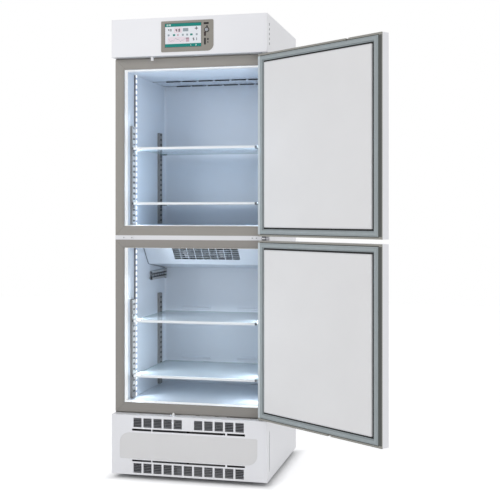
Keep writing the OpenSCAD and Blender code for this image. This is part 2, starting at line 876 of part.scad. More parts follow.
// Rib pressed forward out of the rear wall, with sloping flanks and ends
module wall_rib(x0, x1, z) {
    rib_h = 14;
    rib_out = 5;
    side_plate(x0, x1) polygon([[y_wall, z - rib_h / 2], [y_wall, z + rib_h / 2],
        [y_wall - rib_out, z + rib_h / 2 - 3], [y_wall - rib_out, z - rib_h / 2 + 3]]);
}

module liner_upper() {
    color(inner_white) {
        difference() {
            liner(z_up_bot, z_up_top);
            plenum(z_up_top - wall_step - 1, z_up_top + liner_t + 1);
        }
    }
}

module liner_lower() {
    color(inner_white) {
        liner(z_lo_bot, z_lo_top);
        for (z = [z_lo_bot + 124, z_lo_bot + rail_h - 73]) {
            wall_rib(-212, -66, z);
            wall_rib(66, 212, z);
        }
    }
}

// Front frame: mitred ring with a stepped inner edge
module front_frame(z0, z1, bottom, top) {
    step_w = 6;
    step_d = 1.5;
    front_plate(y_frame, y_frame + step_d)
        ring(-xs, xs, z0, z1, stile_w - step_w, bottom - step_w, top - step_w);
    front_plate(y_frame + step_d, y_foam) ring(-xs, xs, z0, z1, stile_w, bottom, top);
}

// Lip at the back of a frame that covers the foam beside it
module frame_lip(z0, z1) {
    block(-xs, xs, y_foam - lip_t, y_foam, z0, z1);
}

module frame_upper() {
    color(taupe) {
        front_frame(z_mull_up, z_fr_top, mull_rail_up, top_rail_h);
        frame_lip(z_fr_top - eps, z_head);
    }
}

module frame_lower() {
    color(taupe) {
        front_frame(z_fr_bot, z_mull_lo, sill_rail_h, mull_rail_lo);
        frame_lip(z_base, z_fr_bot + eps);
    }
}

module mullion_strip() {
    color(white) block(-xs, xs, y_frame, y_foam, z_mull_lo, z_mull_up);
}

bracket_t = 2;
bracket_in = 2;

// Blanking plate over the unused hinge position
module mullion_cover() {
    color(white) difference() {
        front_plate(y_frame - bracket_t, y_frame)
            rect4(-xs, -xs + 83, z_mull_lo + bracket_in, z_mull_up - bracket_in, 1, 3, 1, 3);
        for (x = [-xs + 39, -xs + 76]) spindle(x, z_mid, 2, y_frame - bracket_t - 1, y_frame - 0.8);
    }
}

// Hinges

// Flat leaf with a round nose about the pin
module hinge_leaf(z0, z1, y1) {
    post(pin_x, pin_back, 13, z0, z1);
    block(pin_x - 13, pin_x + 13, pin_back, y1, z0, z1);
}

module hinge_top() {
    t = 4;
    color(steel) {
        hinge_leaf(z_head - t, z_head, y_frame);
        post(pin_x, pin_back, washer_d / 2, z_up_door_top + seat_gap, z_head - t);
        post(pin_x, pin_back, pin_d / 2, z_up_door_top - pin_depth, z_head);
        block(pin_x - 60, pin_x - 13 + eps, pin_back + 6, y_frame, z_head - t, z_head);
    }
}

module hinge_mid() {
    t = 6;
    color(white) {
        hinge_leaf(z_mid - t / 2, z_mid + t / 2, y_frame);
        front_plate(y_frame - bracket_t, y_frame) difference() {
            rect4(xs - 84, xs, z_mull_lo + bracket_in, z_mull_up - bracket_in, 3, 1, 3, 1);
            for (x = [xs - 74, xs - 56]) translate([x, z_mid]) circle(r = 2.2);
        }
        post(pin_x, pin_back, washer_d / 2, z_lo_door_top + seat_gap, z_up_door_bot - seat_gap);
        post(pin_x, pin_back, pin_d / 2, z_lo_door_top - pin_depth, z_up_door_bot + pin_depth);
    }
}

module hinge_bottom() {
    t = door_gap_low - 1;
    color(steel) {
        hinge_leaf(z_base, z_base + t, y_frame);
        post(pin_x, pin_back, washer_d / 2, z_base, z_lo_door_bot - seat_gap);
        post(pin_x, pin_back, pin_d / 2, z_base, z_lo_door_bot + pin_depth);
        block(pin_x - 60, pin_x - 13 + eps, pin_back + 6, y_frame, z_base, z_base + t);
    }
}

// Cold spaces

// Air vent pressed down out of the ceiling sheet: a closed wedge that opens towards the doors
module vent_hood(x, y, z) {
    side_plate(x, x + hood_len)
        polygon([[y, z + hood_t], [y, z - hood_h], [y + hood_d, z], [y + hood_d, z + hood_t]]);
}

module vent_mouth(x, y, z) {
    slope = hood_h / hood_d;
    side_plate(x + hood_t, x + hood_len - hood_t)
        polygon([[y - 1, z + ceil_t + 1], [y - 1, z - hood_h + hood_t - slope],
            [y + hood_d, z + hood_t], [y + hood_d, z + ceil_t + 1]]);
}

// False ceiling of the upper space with two rows of air vents, hung from its turned-up edges
module ceiling_panel() {
    z0 = z_up_top - wall_step - ceil_drop;
    x1 = x_wall - 1;
    y0 = y_collar + 6;
    y1 = y_wall - 1;
    vents = 6;
    vent_gap = 13;
    row = vents * hood_len + (vents - 1) * vent_gap;
    spots = [for (i = [0 : vents - 1], y = [y_wall - 187, y1 - 24])
        [-row / 2 + i * (hood_len + vent_gap), y]];
    color(inner_white) difference() {
        union() {
            block(-x1, x1, y0, y1 - cove_r, z0, z0 + ceil_t);
            block(-x1 + cove_r, x1 - cove_r, y1 - cove_r - eps, y1, z0, z0 + ceil_t);
            block(-x1, x1, y0, y0 + ceil_t, z0, z0 + ceil_drop);
            for (s = [-1, 1])
                block(s * x1 - (s > 0 ? ceil_t : 0), s * x1 + (s > 0 ? 0 : ceil_t),
                    y0, y1 - cove_r, z0, z0 + ceil_drop);
            for (spot = spots) vent_hood(spot[0], spot[1], z0);
        }
        for (spot = spots) vent_mouth(spot[0], spot[1], z0);
    }
}

// Angle below the horizontal of the housing's underside
hous_low = atan2(hous_fall, y_wall - hous_y - hous_back);

// Side outline of the evaporator housing, set in by g normal to its sheet
function corner_in(g) = g * (1 / cos(hous_ang) - tan(hous_ang) / cos(hous_low))
    / (1 - tan(hous_ang) * tan(hous_low));
function housing_points(g, over) = [
    [hous_y + g / cos(hous_ang) - over * tan(hous_ang), z_hous + over],
    [hous_y + hous_back + corner_in(g),
        z_hous - hous_drop + g / cos(hous_low) - corner_in(g) * tan(hous_low)],
    [y_wall + over, z_hous - hous_drop - hous_fall + g / cos(hous_low) - over * tan(hous_low)],
    [y_wall + over, z_hous + over]
];

// Places children in the plane of the sloping face: x across, y up the slope, z outward
module on_slope() {
    translate([grille_x, yf + hous_y, z_hous]) rotate([90 + hous_ang, 0, 0]) children();
}

// Sheet housing with closed ends and a window for the grille
module evap_housing() {
    x1 = x_wall - hous_end;
    win_lo = -grille_h - 10 + grille_edge;
    color(inner_white) difference() {
        side_plate(-x1, x1) polygon(housing_points(0, 0));
        side_plate(-x1 + hous_t, x1 - hous_t) polygon(housing_points(hous_t, 1));
        on_slope() translate([-grille_w / 2, win_lo, -3]) cube([grille_w, grille_h, 6]);
        block(-x_wall, -x_wall + cove_r, y_wall - cove_r, y_wall + 1, z_hous - 200, z_hous + 1);
        block(x_wall - cove_r, x_wall, y_wall - cove_r, y_wall + 1, z_hous - 200, z_hous + 1);
    }
}

// Slotted grille let into the housing window, with a rim behind the sheet
module evap_grille() {
    win_lo = -grille_h - 10 + grille_edge;
    rim = 3;
    cw = (grille_w - 2 * rim) / grille_cols;
    rh = (grille_h - 2 * rim) / grille_rows;
    bar = 2.2;
    g = seat_gap / 2;
    color(inner_white) on_slope() difference() {
        union() {
            translate([-grille_w / 2 + g, win_lo + g, -grille_back + eps])
                cube([grille_w - 2 * g, grille_h - 2 * g, grille_back - eps]);
            translate([-grille_w / 2 - rim, win_lo - rim, -grille_back])
                cube([grille_w + 2 * rim, grille_h + 2 * rim, grille_t]);
        }
        for (i = [0 : grille_cols - 1], j = [0 : grille_rows - 1])
            translate([-grille_w / 2 + rim + i * cw + bar / 2, win_lo + rim + j * rh + bar / 2, -5])
                cube([cw - bar, rh - bar, 8]);
    }
}

// Finned blocks: one behind the housing fans, one above the slotted ceiling
module fin_block(x0, x1, y0, y1, z0, z1, n) {
    pitch = (x1 - x0 - 2) / (n - 1);
    for (i = [0 : n - 1])
        block(x0 + i * pitch, x0 + i * pitch + 2, y0, y1, z0, z1);
    for (y = [y0 + 14 : 26 : y1 - 10])
        translate([x0, yf + y, (z0 + z1) / 2]) rotate([0, 90, 0]) cylinder(r = 4, h = x1 - x0, $fn = 24);
}

module evap_coil() {
    color(steel) {
        fin_block(-coil_x, coil_x, y_wall - 167, y_wall - 27, z_hous - hous_drop, z_hous, 21);
        fin_block(-coil_x, coil_x, y_wall - 155, y_wall - 25,
            z_up_top + liner_t + 2, z_up_top + plenum_h, 21);
    }
}

function fan_x(s) = s * fan_off;

// Square fan frames behind the grille: ring, three arms, motor cup and shaft
module evap_fan_frames() {
    color(dark) on_slope() for (s = [-1, 1])
        translate([fan_x(s), -fan_down, -grille_back - fan_deep]) {
            difference() {
                translate([-fan_box / 2, -fan_box / 2, 0]) cube([fan_box, fan_box, fan_deep]);
                translate([0, 0, -1]) cylinder(r = fan_r + 1.5, h = fan_deep + 2);
            }
            for (a = [0, 120, 240]) rotate([0, 0, a]) translate([0, -1.5, 0]) cube([fan_r + 2.5, 3, 2]);
            cylinder(r = 10, h = 3);
            cylinder(r = shaft_r, h = fan_deep - 1);
        }
}

module evap_rotor(s) {
    color(steel) on_slope()
        translate([fan_x(s), -fan_down, -grille_back - fan_deep + 3.5])
            rotor(fan_r, 9, fan_deep - 5, 7, shaft_r + fit_gap, 28);
}

module evap_rotor_left() {
    evap_rotor(-1);
}

module evap_rotor_right() {
    evap_rotor(1);
}

// Slotted channel on the left wall under the housing, open towards the wall, with an end bracket
module wall_channel() {
    h = 40;
    t = 1.5;
    out = 14;
    slots = 5;
    slot_len = 22;
    z1 = z_hous - hous_drop - hous_fall - 7;
    z0 = z1 - h;
    y0 = hous_y + 92;
    y1 = y_cove - 2;
    pitch = (y1 - y0 - 36) / slots;
    color(steel) {
        difference() {
            block(-x_wall, -x_wall + out, y0, y1, z0, z1);
            block(-x_wall - 1, -x_wall + out - t, y0 - 1, y1 + 1, z0 + t, z1 - t);
            for (k = [0 : slots - 1])
                block(-x_wall + out - t - 1, -x_wall + out + 1,
                    y0 + 8 + k * pitch, y0 + 8 + k * pitch + slot_len, z0 + h / 2 - 4, z0 + h / 2 + 4);
        }
        block(-x_wall + out - eps, -x_wall + out + t, y1 - 26, y1, z0 - 3, z1 + 3);
    }
}

// Upright channel with a ladder of slots
module shelf_rail(y0, z0, offset) {
    difference() {
        block(x_rail, x_wall, y0, y0 + rail_w, z0, z0 + rail_h);
        block(x_rail + rail_t, x_wall + 1, y0 + rail_t, y0 + rail_w - rail_t, z0 - 1, z0 + rail_h + 1);
        for (k = [0 : rail_slots])
            block(x_rail - 1, x_rail + rail_t + 1, y0 + (rail_w - slot_w) / 2, y0 + (rail_w + slot_w) / 2,
                z0 + slot_first + offset + k * slot_pitch - slot_h,
                z0 + slot_first + offset + k * slot_pitch);
    }
}

module rails_side() {
    for (y0 = [rail_front_y, rail_rear_y]) {
        shelf_rail(y0, rail_up_z, 0);
        shelf_rail(y0, rail_lo_z, lo_offset);
    }
}

module shelf_rails() {
    color(inner_white) {
        rails_side();
        mirror([1, 0, 0]) rails_side();
    }
}

// Aluminium light profile with a shallow lens
module led_side() {
    for (span = [[z_up_bot + wall_step + 2, z_up_top - wall_step - ceil_drop - 1],
            [z_lo_bot + wall_step + 2, z_lo_top - wall_step - 2]]) {
        difference() {
            block(x_wall - led_out, x_wall, led_y, led_y + led_w, span[0], span[1]);
            block(x_wall - led_out - 1, x_wall - 3, led_y + 1.5, led_y + led_w - 1.5,
                span[0] + 2, span[1] - 2);
        }
        block(x_wall - led_out + 1, x_wall - 3 + eps, led_y + 1.5 - eps, led_y + led_w - 1.5 + eps,
            span[0] + 2 - eps, span[1] - 2 + eps);
    }
}

module led_strips() {
    color([0.95, 0.97, 1]) {
        led_side();
        mirror([1, 0, 0]) led_side();
    }
}

// Glass plate whose front edge sits in the trim
module shelf_glass(z) {
    color(glass_tone)
        block(-x_glass, x_glass, shelf_y + 2, y_wall - shelf_back, z - glass_t / 2, z + glass_t / 2);
}

module shelf_glass_1() {
    shelf_glass(shelf_z[0]);
}

module shelf_glass_2() {
    shelf_glass(shelf_z[1]);
}

module shelf_glass_3() {
    shelf_glass(shelf_z[2]);
}

module shelf_glass_4() {
    shelf_glass(shelf_z[3]);
}

// Grooved trims on the front edges of the four shelves
module shelf_trims() {
    color(white) for (z = shelf_z) difference() {
        block(-x_glass + 4, x_glass - 4, shelf_y, shelf_y + trim_d, z - trim_h / 2, z + trim_h / 2);
        block(-x_glass, x_glass, shelf_y + 2, shelf_y + trim_d + 1, z - glass_t / 2, z + glass_t / 2);
    }
}

// Hook clips in the rails and end caps on the trims
module shelf_clips() {
    zc = glass_t / 2;
    color(dark) for (z = shelf_z, s = [-1, 1]) {
        for (y0 = [rail_front_y, rail_rear_y]) {
            ym = y0 + rail_w / 2;
            block(s > 0 ? x_glass - 14 : -x_rail, s > 0 ? x_rail : -x_glass + 14,
                ym - 9, ym + 9, z - zc - clip_t, z - zc);
            block(s > 0 ? x_rail - 2.5 : -x_rail, s > 0 ? x_rail : -x_rail + 2.5,
                ym - 9, ym + 9, z - zc - 16, z - zc - clip_t + eps);
        }
        difference() {
            block(s > 0 ? x_glass - 4 : -x_glass - 4, s > 0 ? x_glass + 4 : -x_glass + 4,
                shelf_y, shelf_y + trim_d + 5, z - trim_h / 2, z + trim_h / 2);
            block(s > 0 ? x_glass - 5 : -x_glass, s > 0 ? x_glass : -x_glass + 5,
                shelf_y + 2, shelf_y + trim_d + 6, z - glass_t / 2, z + glass_t / 2);
        }
    }
}

// Doors

// Swings a closed door to the angle at which it stands
module swung() {
    translate([pin_x, pin_y, 0]) rotate([0, 0, door_open]) translate([-pin_x, -pin_y, 0]) children();
}

// Pocket in a door edge that clears the switch peg as the door closes
module peg_pocket(x, z0, z1) {
    block(x - pocket_w / 2, x + pocket_w / 2, pocket_y, door_t + 1, z0, z1);
}

module pocket_upper() {
    peg_pocket(peg_up_x, z_up_door_top - pocket_z, z_up_door_top + 1);
}

module pocket_lower() {
    peg_pocket(peg_lo_x, z_lo_door_bot - 1, z_lo_door_bot + pocket_z);
}

// Outline of the recessed grip on the outer face
module grip_outline(zg, g) {
    rect4(-x_door + grip_in - g, -x_door + grip_in + grip_w + g, zg - g, zg + grip_h + g, 8, 8, 8, 8);
}

// Steel tray: outer face with returned edges
module door_skin(z0, z1, zg) {
    difference() {
        rounded_block(x_door, fold_r, 0, edge_return, z0, z1);
        rounded_block(x_door, fold_r, skin_t, edge_return + 1, z0 + skin_t, z1 - skin_t);
        post(pin_x, pin_back, washer_d / 2 + 1, z0 - 1, z0 + skin_t + 0.5);
        post(pin_x, pin_back, washer_d / 2 + 1, z1 - skin_t - 0.5, z1 + 1);
        front_plate(-1, skin_t + 1) grip_outline(zg, 0);
    }
}

// Edge profile around the inner side of the door, with the dark groove inside the gasket
module door_profile(z0, z1) {
    inner_side = gasket_side + gasket_w + groove_w;
    inner_end = gasket_end + gasket_w + groove_w;
    deep = 2;
    color(taupe) difference() {
        union() {
            front_plate(edge_return, door_t - deep)
                ring(-x_door, x_door, z0, z1, inner_side, inner_end, inner_end);
            front_plate(door_t - deep, door_t)
                ring(-x_door, x_door, z0, z1,
                    inner_side - groove_w, inner_end - groove_w, inner_end - groove_w);
        }
        translate([0, yf, z0 - 1]) linear_extrude(height = z1 - z0 + 2)
            for (s = [-1, 1]) corner_tip(s * x_door, door_t, edge_r, -s, -1);
    }
}

// Magnetic gasket: wide foot and narrower sealing bead
module door_gasket(z0, z1) {
    foot_t = 2.4;
    bead_in = 3;
    color(gasket_grey) {
        front_plate(door_t, door_t + foot_t) difference() {
            rect(-x_door + gasket_side, x_door - gasket_side, z0 + gasket_end, z1 - gasket_end);
            rect(-x_door + gasket_side + gasket_w, x_door - gasket_side - gasket_w,
                z0 + gasket_end + gasket_w, z1 - gasket_end - gasket_w);
        }
        front_plate(door_t + foot_t, door_t + gasket_h) difference() {
            rect(-x_door + gasket_side + bead_in / 2, x_door - gasket_side - bead_in / 2,
                z0 + gasket_end + bead_in / 2, z1 - gasket_end - bead_in / 2);
            rect(-x_door + gasket_side + gasket_w - bead_in, x_door - gasket_side - gasket_w + bead_in,
                z0 + gasket_end + gasket_w - bead_in, z1 - gasket_end - gasket_w + bead_in);
        }
    }
}

// Insulated core with the raised white pan, bored for the pins and hollowed for the grip
module door_pan(z0, z1, zg) {
    inner_side = gasket_side + gasket_w + groove_w;
    inner_end = gasket_end + gasket_w + groove_w;
    difference() {
        union() {
            rounded_block(x_door, fold_r, skin_t, edge_return, z0 + skin_t, z1 - skin_t);
            front_plate(edge_return, door_t + pan_rise)
                rect4(-x_door + inner_side, x_door - inner_side, z0 + inner_end, z1 - inner_end, 3, 3, 3, 3);
        }
        post(pin_x, pin_back, pin_d / 2 + fit_gap, z0 - 1, z0 + bore_depth);
        post(pin_x, pin_back, pin_d / 2 + fit_gap, z1 - bore_depth, z1 + 1);
        front_plate(0, grip_deep) grip_outline(zg, 0);
        side_plate(-x_door + grip_in - 9, -x_door + grip_in + 1)
            rect(6, grip_deep, zg + 8, zg + grip_h - 8);
    }
}

z_grip_up = z_up_door_bot + grip_low;
z_grip_lo = z_lo_door_top - grip_low - grip_h;

module door_skin_upper() {
    color(white) swung() difference() {
        door_skin(z_up_door_bot, z_up_door_top, z_grip_up);
        pocket_upper();
    }
}

module door_profile_upper() {
    swung() difference() {
        door_profile(z_up_door_bot, z_up_door_top);
        pocket_upper();
    }
}

module door_gasket_upper() {
    swung() door_gasket(z_up_door_bot, z_up_door_top);
}

module door_pan_upper() {
    color(pale_grey) swung() difference() {
        door_pan(z_up_door_bot, z_up_door_top, z_grip_up);
        pocket_upper();
    }
}

module door_skin_lower() {
    color(white) swung() difference() {
        door_skin(z_lo_door_bot, z_lo_door_top, z_grip_lo);
        pocket_lower();
    }
}

module door_profile_lower() {
    swung() difference() {
        door_profile(z_lo_door_bot, z_lo_door_top);
        pocket_lower();
    }
}

module door_gasket_lower() {
    swung() door_gasket(z_lo_door_bot, z_lo_door_top);
}

module door_pan_lower() {
    color(pale_grey) swung() difference() {
        door_pan(z_lo_door_bot, z_lo_door_top, z_grip_lo);
        pocket_lower();
    }
}

// Door switches

module switch_upper() {
    zc = z_head + skin_t;
    color(white) {
        post(peg_up_x, peg_y, peg_r, z_head - peg_up_len, zc + peg_tail);
        post(peg_up_x, peg_y, peg_collar_r, zc, zc + peg_collar_h);
    }
}

module switch_lower() {
    zc = z_base - skin_t;
    tip = 7;
    color(white) {
        post(peg_lo_x, peg_y, peg_r, zc - peg_tail, z_base + peg_lo_len - tip);
        post(peg_lo_x, peg_y, peg_collar_r, zc - peg_collar_h, zc);
        translate([peg_lo_x, yf + peg_y, z_base + peg_lo_len - tip])
            cylinder(r1 = peg_r, r2 = 3, h = tip);
    }
}

side_skin_left();
side_skin_right();
back_skin();
top_skin();
head_cover();
head_floor();
control_bezel();
screen();
key_switch();
base_cover();
base_panel();
base_tray();
foam_left();
foam_right();
foam_back();
foam_top();
foam_mid();
foam_bottom();
liner_upper();
liner_lower();
frame_upper();
frame_lower();
mullion_strip();
mullion_cover();
hinge_top();
hinge_mid();
hinge_bottom();
ceiling_panel();
evap_housing();
evap_grille();
evap_coil();
evap_fan_frames();
evap_rotor_left();
evap_rotor_right();
wall_channel();
shelf_rails();
led_strips();
shelf_glass_1();
shelf_glass_2();
shelf_glass_3();
shelf_glass_4();
shelf_trims();
shelf_clips();
door_skin_upper();
door_profile_upper();
door_gasket_upper();
door_pan_upper();
door_skin_lower();
door_profile_lower();
door_gasket_lower();
door_pan_lower();
switch_upper();
switch_lower();
foot_front_left();
foot_front_right();
foot_rear_left();
foot_rear_right();
compressor();
condenser();
condenser_rotor();
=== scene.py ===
"""Looks of an upright laboratory refrigerator with two cold spaces and both doors open."""

import json
import math

import bmesh
import bpy
import numpy as np
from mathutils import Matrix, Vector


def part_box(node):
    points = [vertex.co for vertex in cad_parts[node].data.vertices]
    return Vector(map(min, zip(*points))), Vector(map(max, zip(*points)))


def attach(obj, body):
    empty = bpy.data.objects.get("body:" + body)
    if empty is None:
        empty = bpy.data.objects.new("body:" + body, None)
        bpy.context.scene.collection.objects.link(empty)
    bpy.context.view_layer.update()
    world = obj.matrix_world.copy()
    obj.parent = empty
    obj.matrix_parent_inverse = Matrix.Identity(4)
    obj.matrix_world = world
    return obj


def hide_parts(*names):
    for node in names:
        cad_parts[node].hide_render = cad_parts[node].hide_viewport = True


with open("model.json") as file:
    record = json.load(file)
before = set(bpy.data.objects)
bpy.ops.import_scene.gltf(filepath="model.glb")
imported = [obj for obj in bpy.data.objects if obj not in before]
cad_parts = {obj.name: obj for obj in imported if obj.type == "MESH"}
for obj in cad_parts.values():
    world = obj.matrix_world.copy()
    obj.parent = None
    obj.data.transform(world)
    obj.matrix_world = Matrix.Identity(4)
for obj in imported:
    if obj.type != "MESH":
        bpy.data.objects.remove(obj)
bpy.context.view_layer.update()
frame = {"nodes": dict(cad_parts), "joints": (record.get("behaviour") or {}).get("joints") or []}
nodes = frame["nodes"]
joints = {j["name"]: j for j in frame["joints"]}
MM = 0.001

# Places read from the frame, in metres; the false ceiling has edges that are turned up

CEILING_EDGE = 0.004
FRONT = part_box("base_cover")[0].y
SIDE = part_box("side_skin_right")[1].x
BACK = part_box("back_skin")[1].y
FRAME_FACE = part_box("frame_upper")[0].y
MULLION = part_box("mullion_strip")
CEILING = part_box("ceiling_panel")[1].z - CEILING_EDGE
CEILING_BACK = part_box("ceiling_panel")[1].y
housing_low, housing_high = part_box("evap_housing")
rail_low, rail_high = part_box("shelf_rails")
channel_low, channel_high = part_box("wall_channel")
led_low, led_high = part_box("led_strips")
key_low, key_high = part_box("key_switch")
screen_low, screen_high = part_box("screen")
PIN = joints["upper_door_hinge"]["pos_m"]
OPEN = math.radians(-joints["upper_door_hinge"]["range_deg"][0])
COS, SIN = math.cos(OPEN), math.sin(OPEN)
KEY_X, _, KEY_Z = joints["key_turn"]["pos_m"]

# Sizes of the part's sheets, vents, doors and rails, which the finishes and the small forms follow
# A zone of a finish keeps EDGE off a form's edge, and COLLAR is the depth where the liners' rim of painted
# light, whiter and glowing, ends. PEG_POCKET is a half width, a half height and the depth from which the
# pocket's colour shows.
# COIL_ROOM is a half width, two depths and two heights.

EDGE = 0.0003
COLLAR = FRAME_FACE + 0.042
BEZEL_FACE = FRONT - 0.002
DOOR_HALF, DOOR_BACK = SIDE - 0.001, FRONT + 0.0405
GASKET_SIDE, GASKET_END, GASKET_WIDE = 0.0175, 0.0105, 0.020
PAN_SIDE, PAN_END, PAN_FACE = 0.0450, 0.0380, DOOR_BACK + 0.0055
PEG_POCKET = (0.0078, 0.0104, FRONT + 0.0095)
LOUVRE_PITCH, LOUVRE_WIDE, LOUVRE_DEEP, LOUVRE_COLUMNS = 0.045, 0.0365, 0.012, 11
LOUVRE_ROWS = ((0.0285, 0.0695), (0.2235, 0.263))
COIL_ROOM = (0.263, CEILING_BACK - 0.245, CEILING_BACK, CEILING + 0.002, CEILING + 0.038)
CEILING_VENTS = (0.186, 0.024)
HOUSING_BACK, HOUSING_DROP, HOUSING_FALL = 0.070, 0.082, 0.030
SHEET = 0.001
RAIL_WIDE, RAIL_TALL, RAIL_OUT, RAIL_WALL = 0.036, 0.4335, 0.0115, 0.002
SLOT_HALF, SLOT_TALL, SLOT_PITCH = 0.0095, 0.0084, 0.024
SLOT_ROWS = ((rail_low.z + 0.0248, 17), (rail_high.z - RAIL_TALL + 0.0133, 18))
LED_POWER, LED_PITCH, LENS_INSET = 1.3, 0.0245, 0.0014


# Shader maths

class Value:
    """A socket used in Python expressions: each operator adds the Math node that it needs."""

    def __init__(self, finish, socket):
        self.finish, self.socket = finish, socket

    def maths(self, operation, *others):
        return self.finish.node("ShaderNodeMath", {"operation": operation}, [self, *others])

    def __add__(self, other):
        return self.maths("ADD", other)

    __radd__ = __add__

    def __sub__(self, other):
        return self.maths("SUBTRACT", other)

    def __rsub__(self, other):
        return self.finish.number(other).maths("SUBTRACT", self)

    def __mul__(self, other):
        return self.maths("MULTIPLY", other)

    __rmul__ = __mul__

    def __truediv__(self, other):
        return self.maths("DIVIDE", other)

    def __mod__(self, other):
        return self.maths("FLOORED_MODULO", other)

    def __abs__(self):
        return self.maths("ABSOLUTE")

    def __gt__(self, other):
        return self.maths("GREATER_THAN", other)

    def __lt__(self, other):
        return self.maths("LESS_THAN", other)

    def lowest(self, other):
        return self.maths("MINIMUM", other)

    def highest(self, other):
        return self.maths("MAXIMUM", other)

    def sine(self):
        return self.maths("SINE")

    def ramp(self, low, high, start=0.0, end=1.0):
        """Goes from start to end, clamped, as the value goes from low to high."""
        return self.finish.node("ShaderNodeMapRange", {"clamp": True}, [self, low, high, start, end])


class Finish:
    """A procedural material: constants sit on the shader's sockets, the rest comes from node()."""

    def __init__(self, name, **constants):
        self.material = bpy.data.materials.new(name)
        self.material.use_nodes = True
        self.tree = self.material.node_tree
        self.shader = self.tree.nodes["Principled BSDF"]
        for socket, value in constants.items():
            self.shader.inputs[socket.replace("_", " ")].default_value = value

    def node(self, kind, settings=None, values=(), output=0):
        """Adds any node: its settings first, then its sockets, by place or by name."""
        made = self.tree.nodes.new(kind)
        for key, value in (settings or {}).items():
            setattr(made, key, value)
        pairs = values.items() if isinstance(values, dict) else enumerate(values)
        for key, value in pairs:
            self.feed(made.inputs[key], value)
        return Value(self, made.outputs[output])

    def feed(self, socket, value):
        """Links a value to a socket, or sets a constant on it."""
        if isinstance(value, Value):
            self.tree.links.new(value.socket, socket)
        else:
            socket.default_value = value

    def number(self, value):
        """A constant that maths can start from."""
        made = self.tree.nodes.new("ShaderNodeValue")
        made.outputs[0].default_value = value
        return Value(self, made.outputs[0])

    def place(self):
        """Object coordinates in metres, as a vector."""
        return self.node("ShaderNodeTexCoord", output=3)

    def xyz(self, vector=None):
        """The three parts of a vector, or else of the object coordinates."""
        made = self.tree.nodes.new("ShaderNodeSeparateXYZ")
        self.feed(made.inputs[0], vector or self.place())
        return [Value(self, out) for out in made.outputs]

    def door_place(self):
        """Object coordinates turned back to the closed door, as a vector."""
        x, y, z = self.xyz()
        across = (x - PIN[0]) * COS + (y - PIN[1]) * SIN + PIN[0]
        depth = (y - PIN[1]) * COS - (x - PIN[0]) * SIN + PIN[1]
        return self.node("ShaderNodeCombineXYZ", None, [across, depth, z])

    def stretched(self, vector, scale):
        """A vector scaled by axis, so that a pattern on it is drawn out where the scale is low."""
        return self.node("ShaderNodeMapping", None, {"Vector": vector, "Scale": scale})

    def noise(self, scale, vector=None, detail=2.0, roughness=0.5):
        return self.node("ShaderNodeTexNoise", None, {
            "Vector": vector or self.place(), "Scale": scale, "Detail": detail, "Roughness": roughness})

    def cells(self, scale, vector=None):
        return self.node("ShaderNodeTexVoronoi", None, {"Vector": vector or self.place(), "Scale": scale})

    def mix(self, factor, colour_a, colour_b):
        """The first colour where the factor is nought, and the second where it is one."""
        sockets = {0: factor, 6: colour_a, 7: colour_b}
        return self.node("ShaderNodeMix", {"data_type": "RGBA"}, sockets, output=2)

    def colour(self, value):
        self.feed(self.shader.inputs["Base Color"], value)

    def rough(self, value):
        self.feed(self.shader.inputs["Roughness"], value)

    def metal(self, value):
        self.feed(self.shader.inputs["Metallic"], value)

    def coat(self, weight):
        self.feed(self.shader.inputs["Coat Weight"], weight)

    def glow(self, value):
        self.feed(self.shader.inputs["Emission Color"], value)

    def bump(self, height, distance, strength):
        """Relief in metres: distance is what a height of one stands proud."""
        sockets = {"Strength": strength, "Distance": distance, "Height": height}
        self.feed(self.shader.inputs["Normal"], self.node("ShaderNodeBump", None, sockets))


def tone(red, green, blue):
    """A display colour, 0 to 255, as the linear colour that the shader takes."""
    parts = np.array([red, green, blue]) / 255.0
    linear = np.where(parts <= 0.04045, parts / 12.92, ((parts + 0.055) / 1.055) ** 2.4)
    return (*linear.tolist(), 1.0)


def shade(colour, factor):
    """A colour made darker or lighter by a factor."""
    return (*[c * factor for c in colour[:3]], 1.0)


UNLIT = (0.0, 0.0, 0.0, 1.0)
# Near black painted as shade: in the hollows of the rails and the wall channel, and on the liner behind the
# rails
PAINTED_SHADE = tone(20, 22, 26)


# Finishes

def powder_coat(name, colour, roughness=0.36, turned=False, louvred=False):
    """Baked powder paint on sheet steel: orange peel, faint cloudiness and a soft coat."""
    f = Finish(name, Coat_Roughness=0.18)
    place = f.door_place() if turned else f.place()
    cloud = f.noise(3.5, place, 3.0)
    tint = f.mix(cloud, shade(colour, 0.965), shade(colour, 1.02))
    if louvred:
        tint = f.mix(on_louvres(*f.xyz()), tint, tone(150, 151, 156))
    f.colour(tint)
    peel = f.noise(700.0, place)
    f.rough(roughness - 0.05 + 0.10 * f.noise(60.0, place))
    f.coat(0.25)
    f.bump(peel, 0.00004, 0.5)
    return f.material


def on_louvres(x, y, z):
    """One on the louvre blades, which lie inside the windows and behind the face of the cover."""
    across = abs(((x / LOUVRE_PITCH + 0.5) % 1.0) - 0.5) * LOUVRE_PITCH
    here = (across < LOUVRE_WIDE / 2 - EDGE) * (abs(x) < LOUVRE_PITCH * LOUVRE_COLUMNS / 2)
    here = here * (y > FRONT + EDGE) * (y < FRONT + LOUVRE_DEEP)
    rows = 0.0
    for low, high in LOUVRE_ROWS:
        rows = (z > low + EDGE) * (z < high - EDGE) + rows
    return here * rows


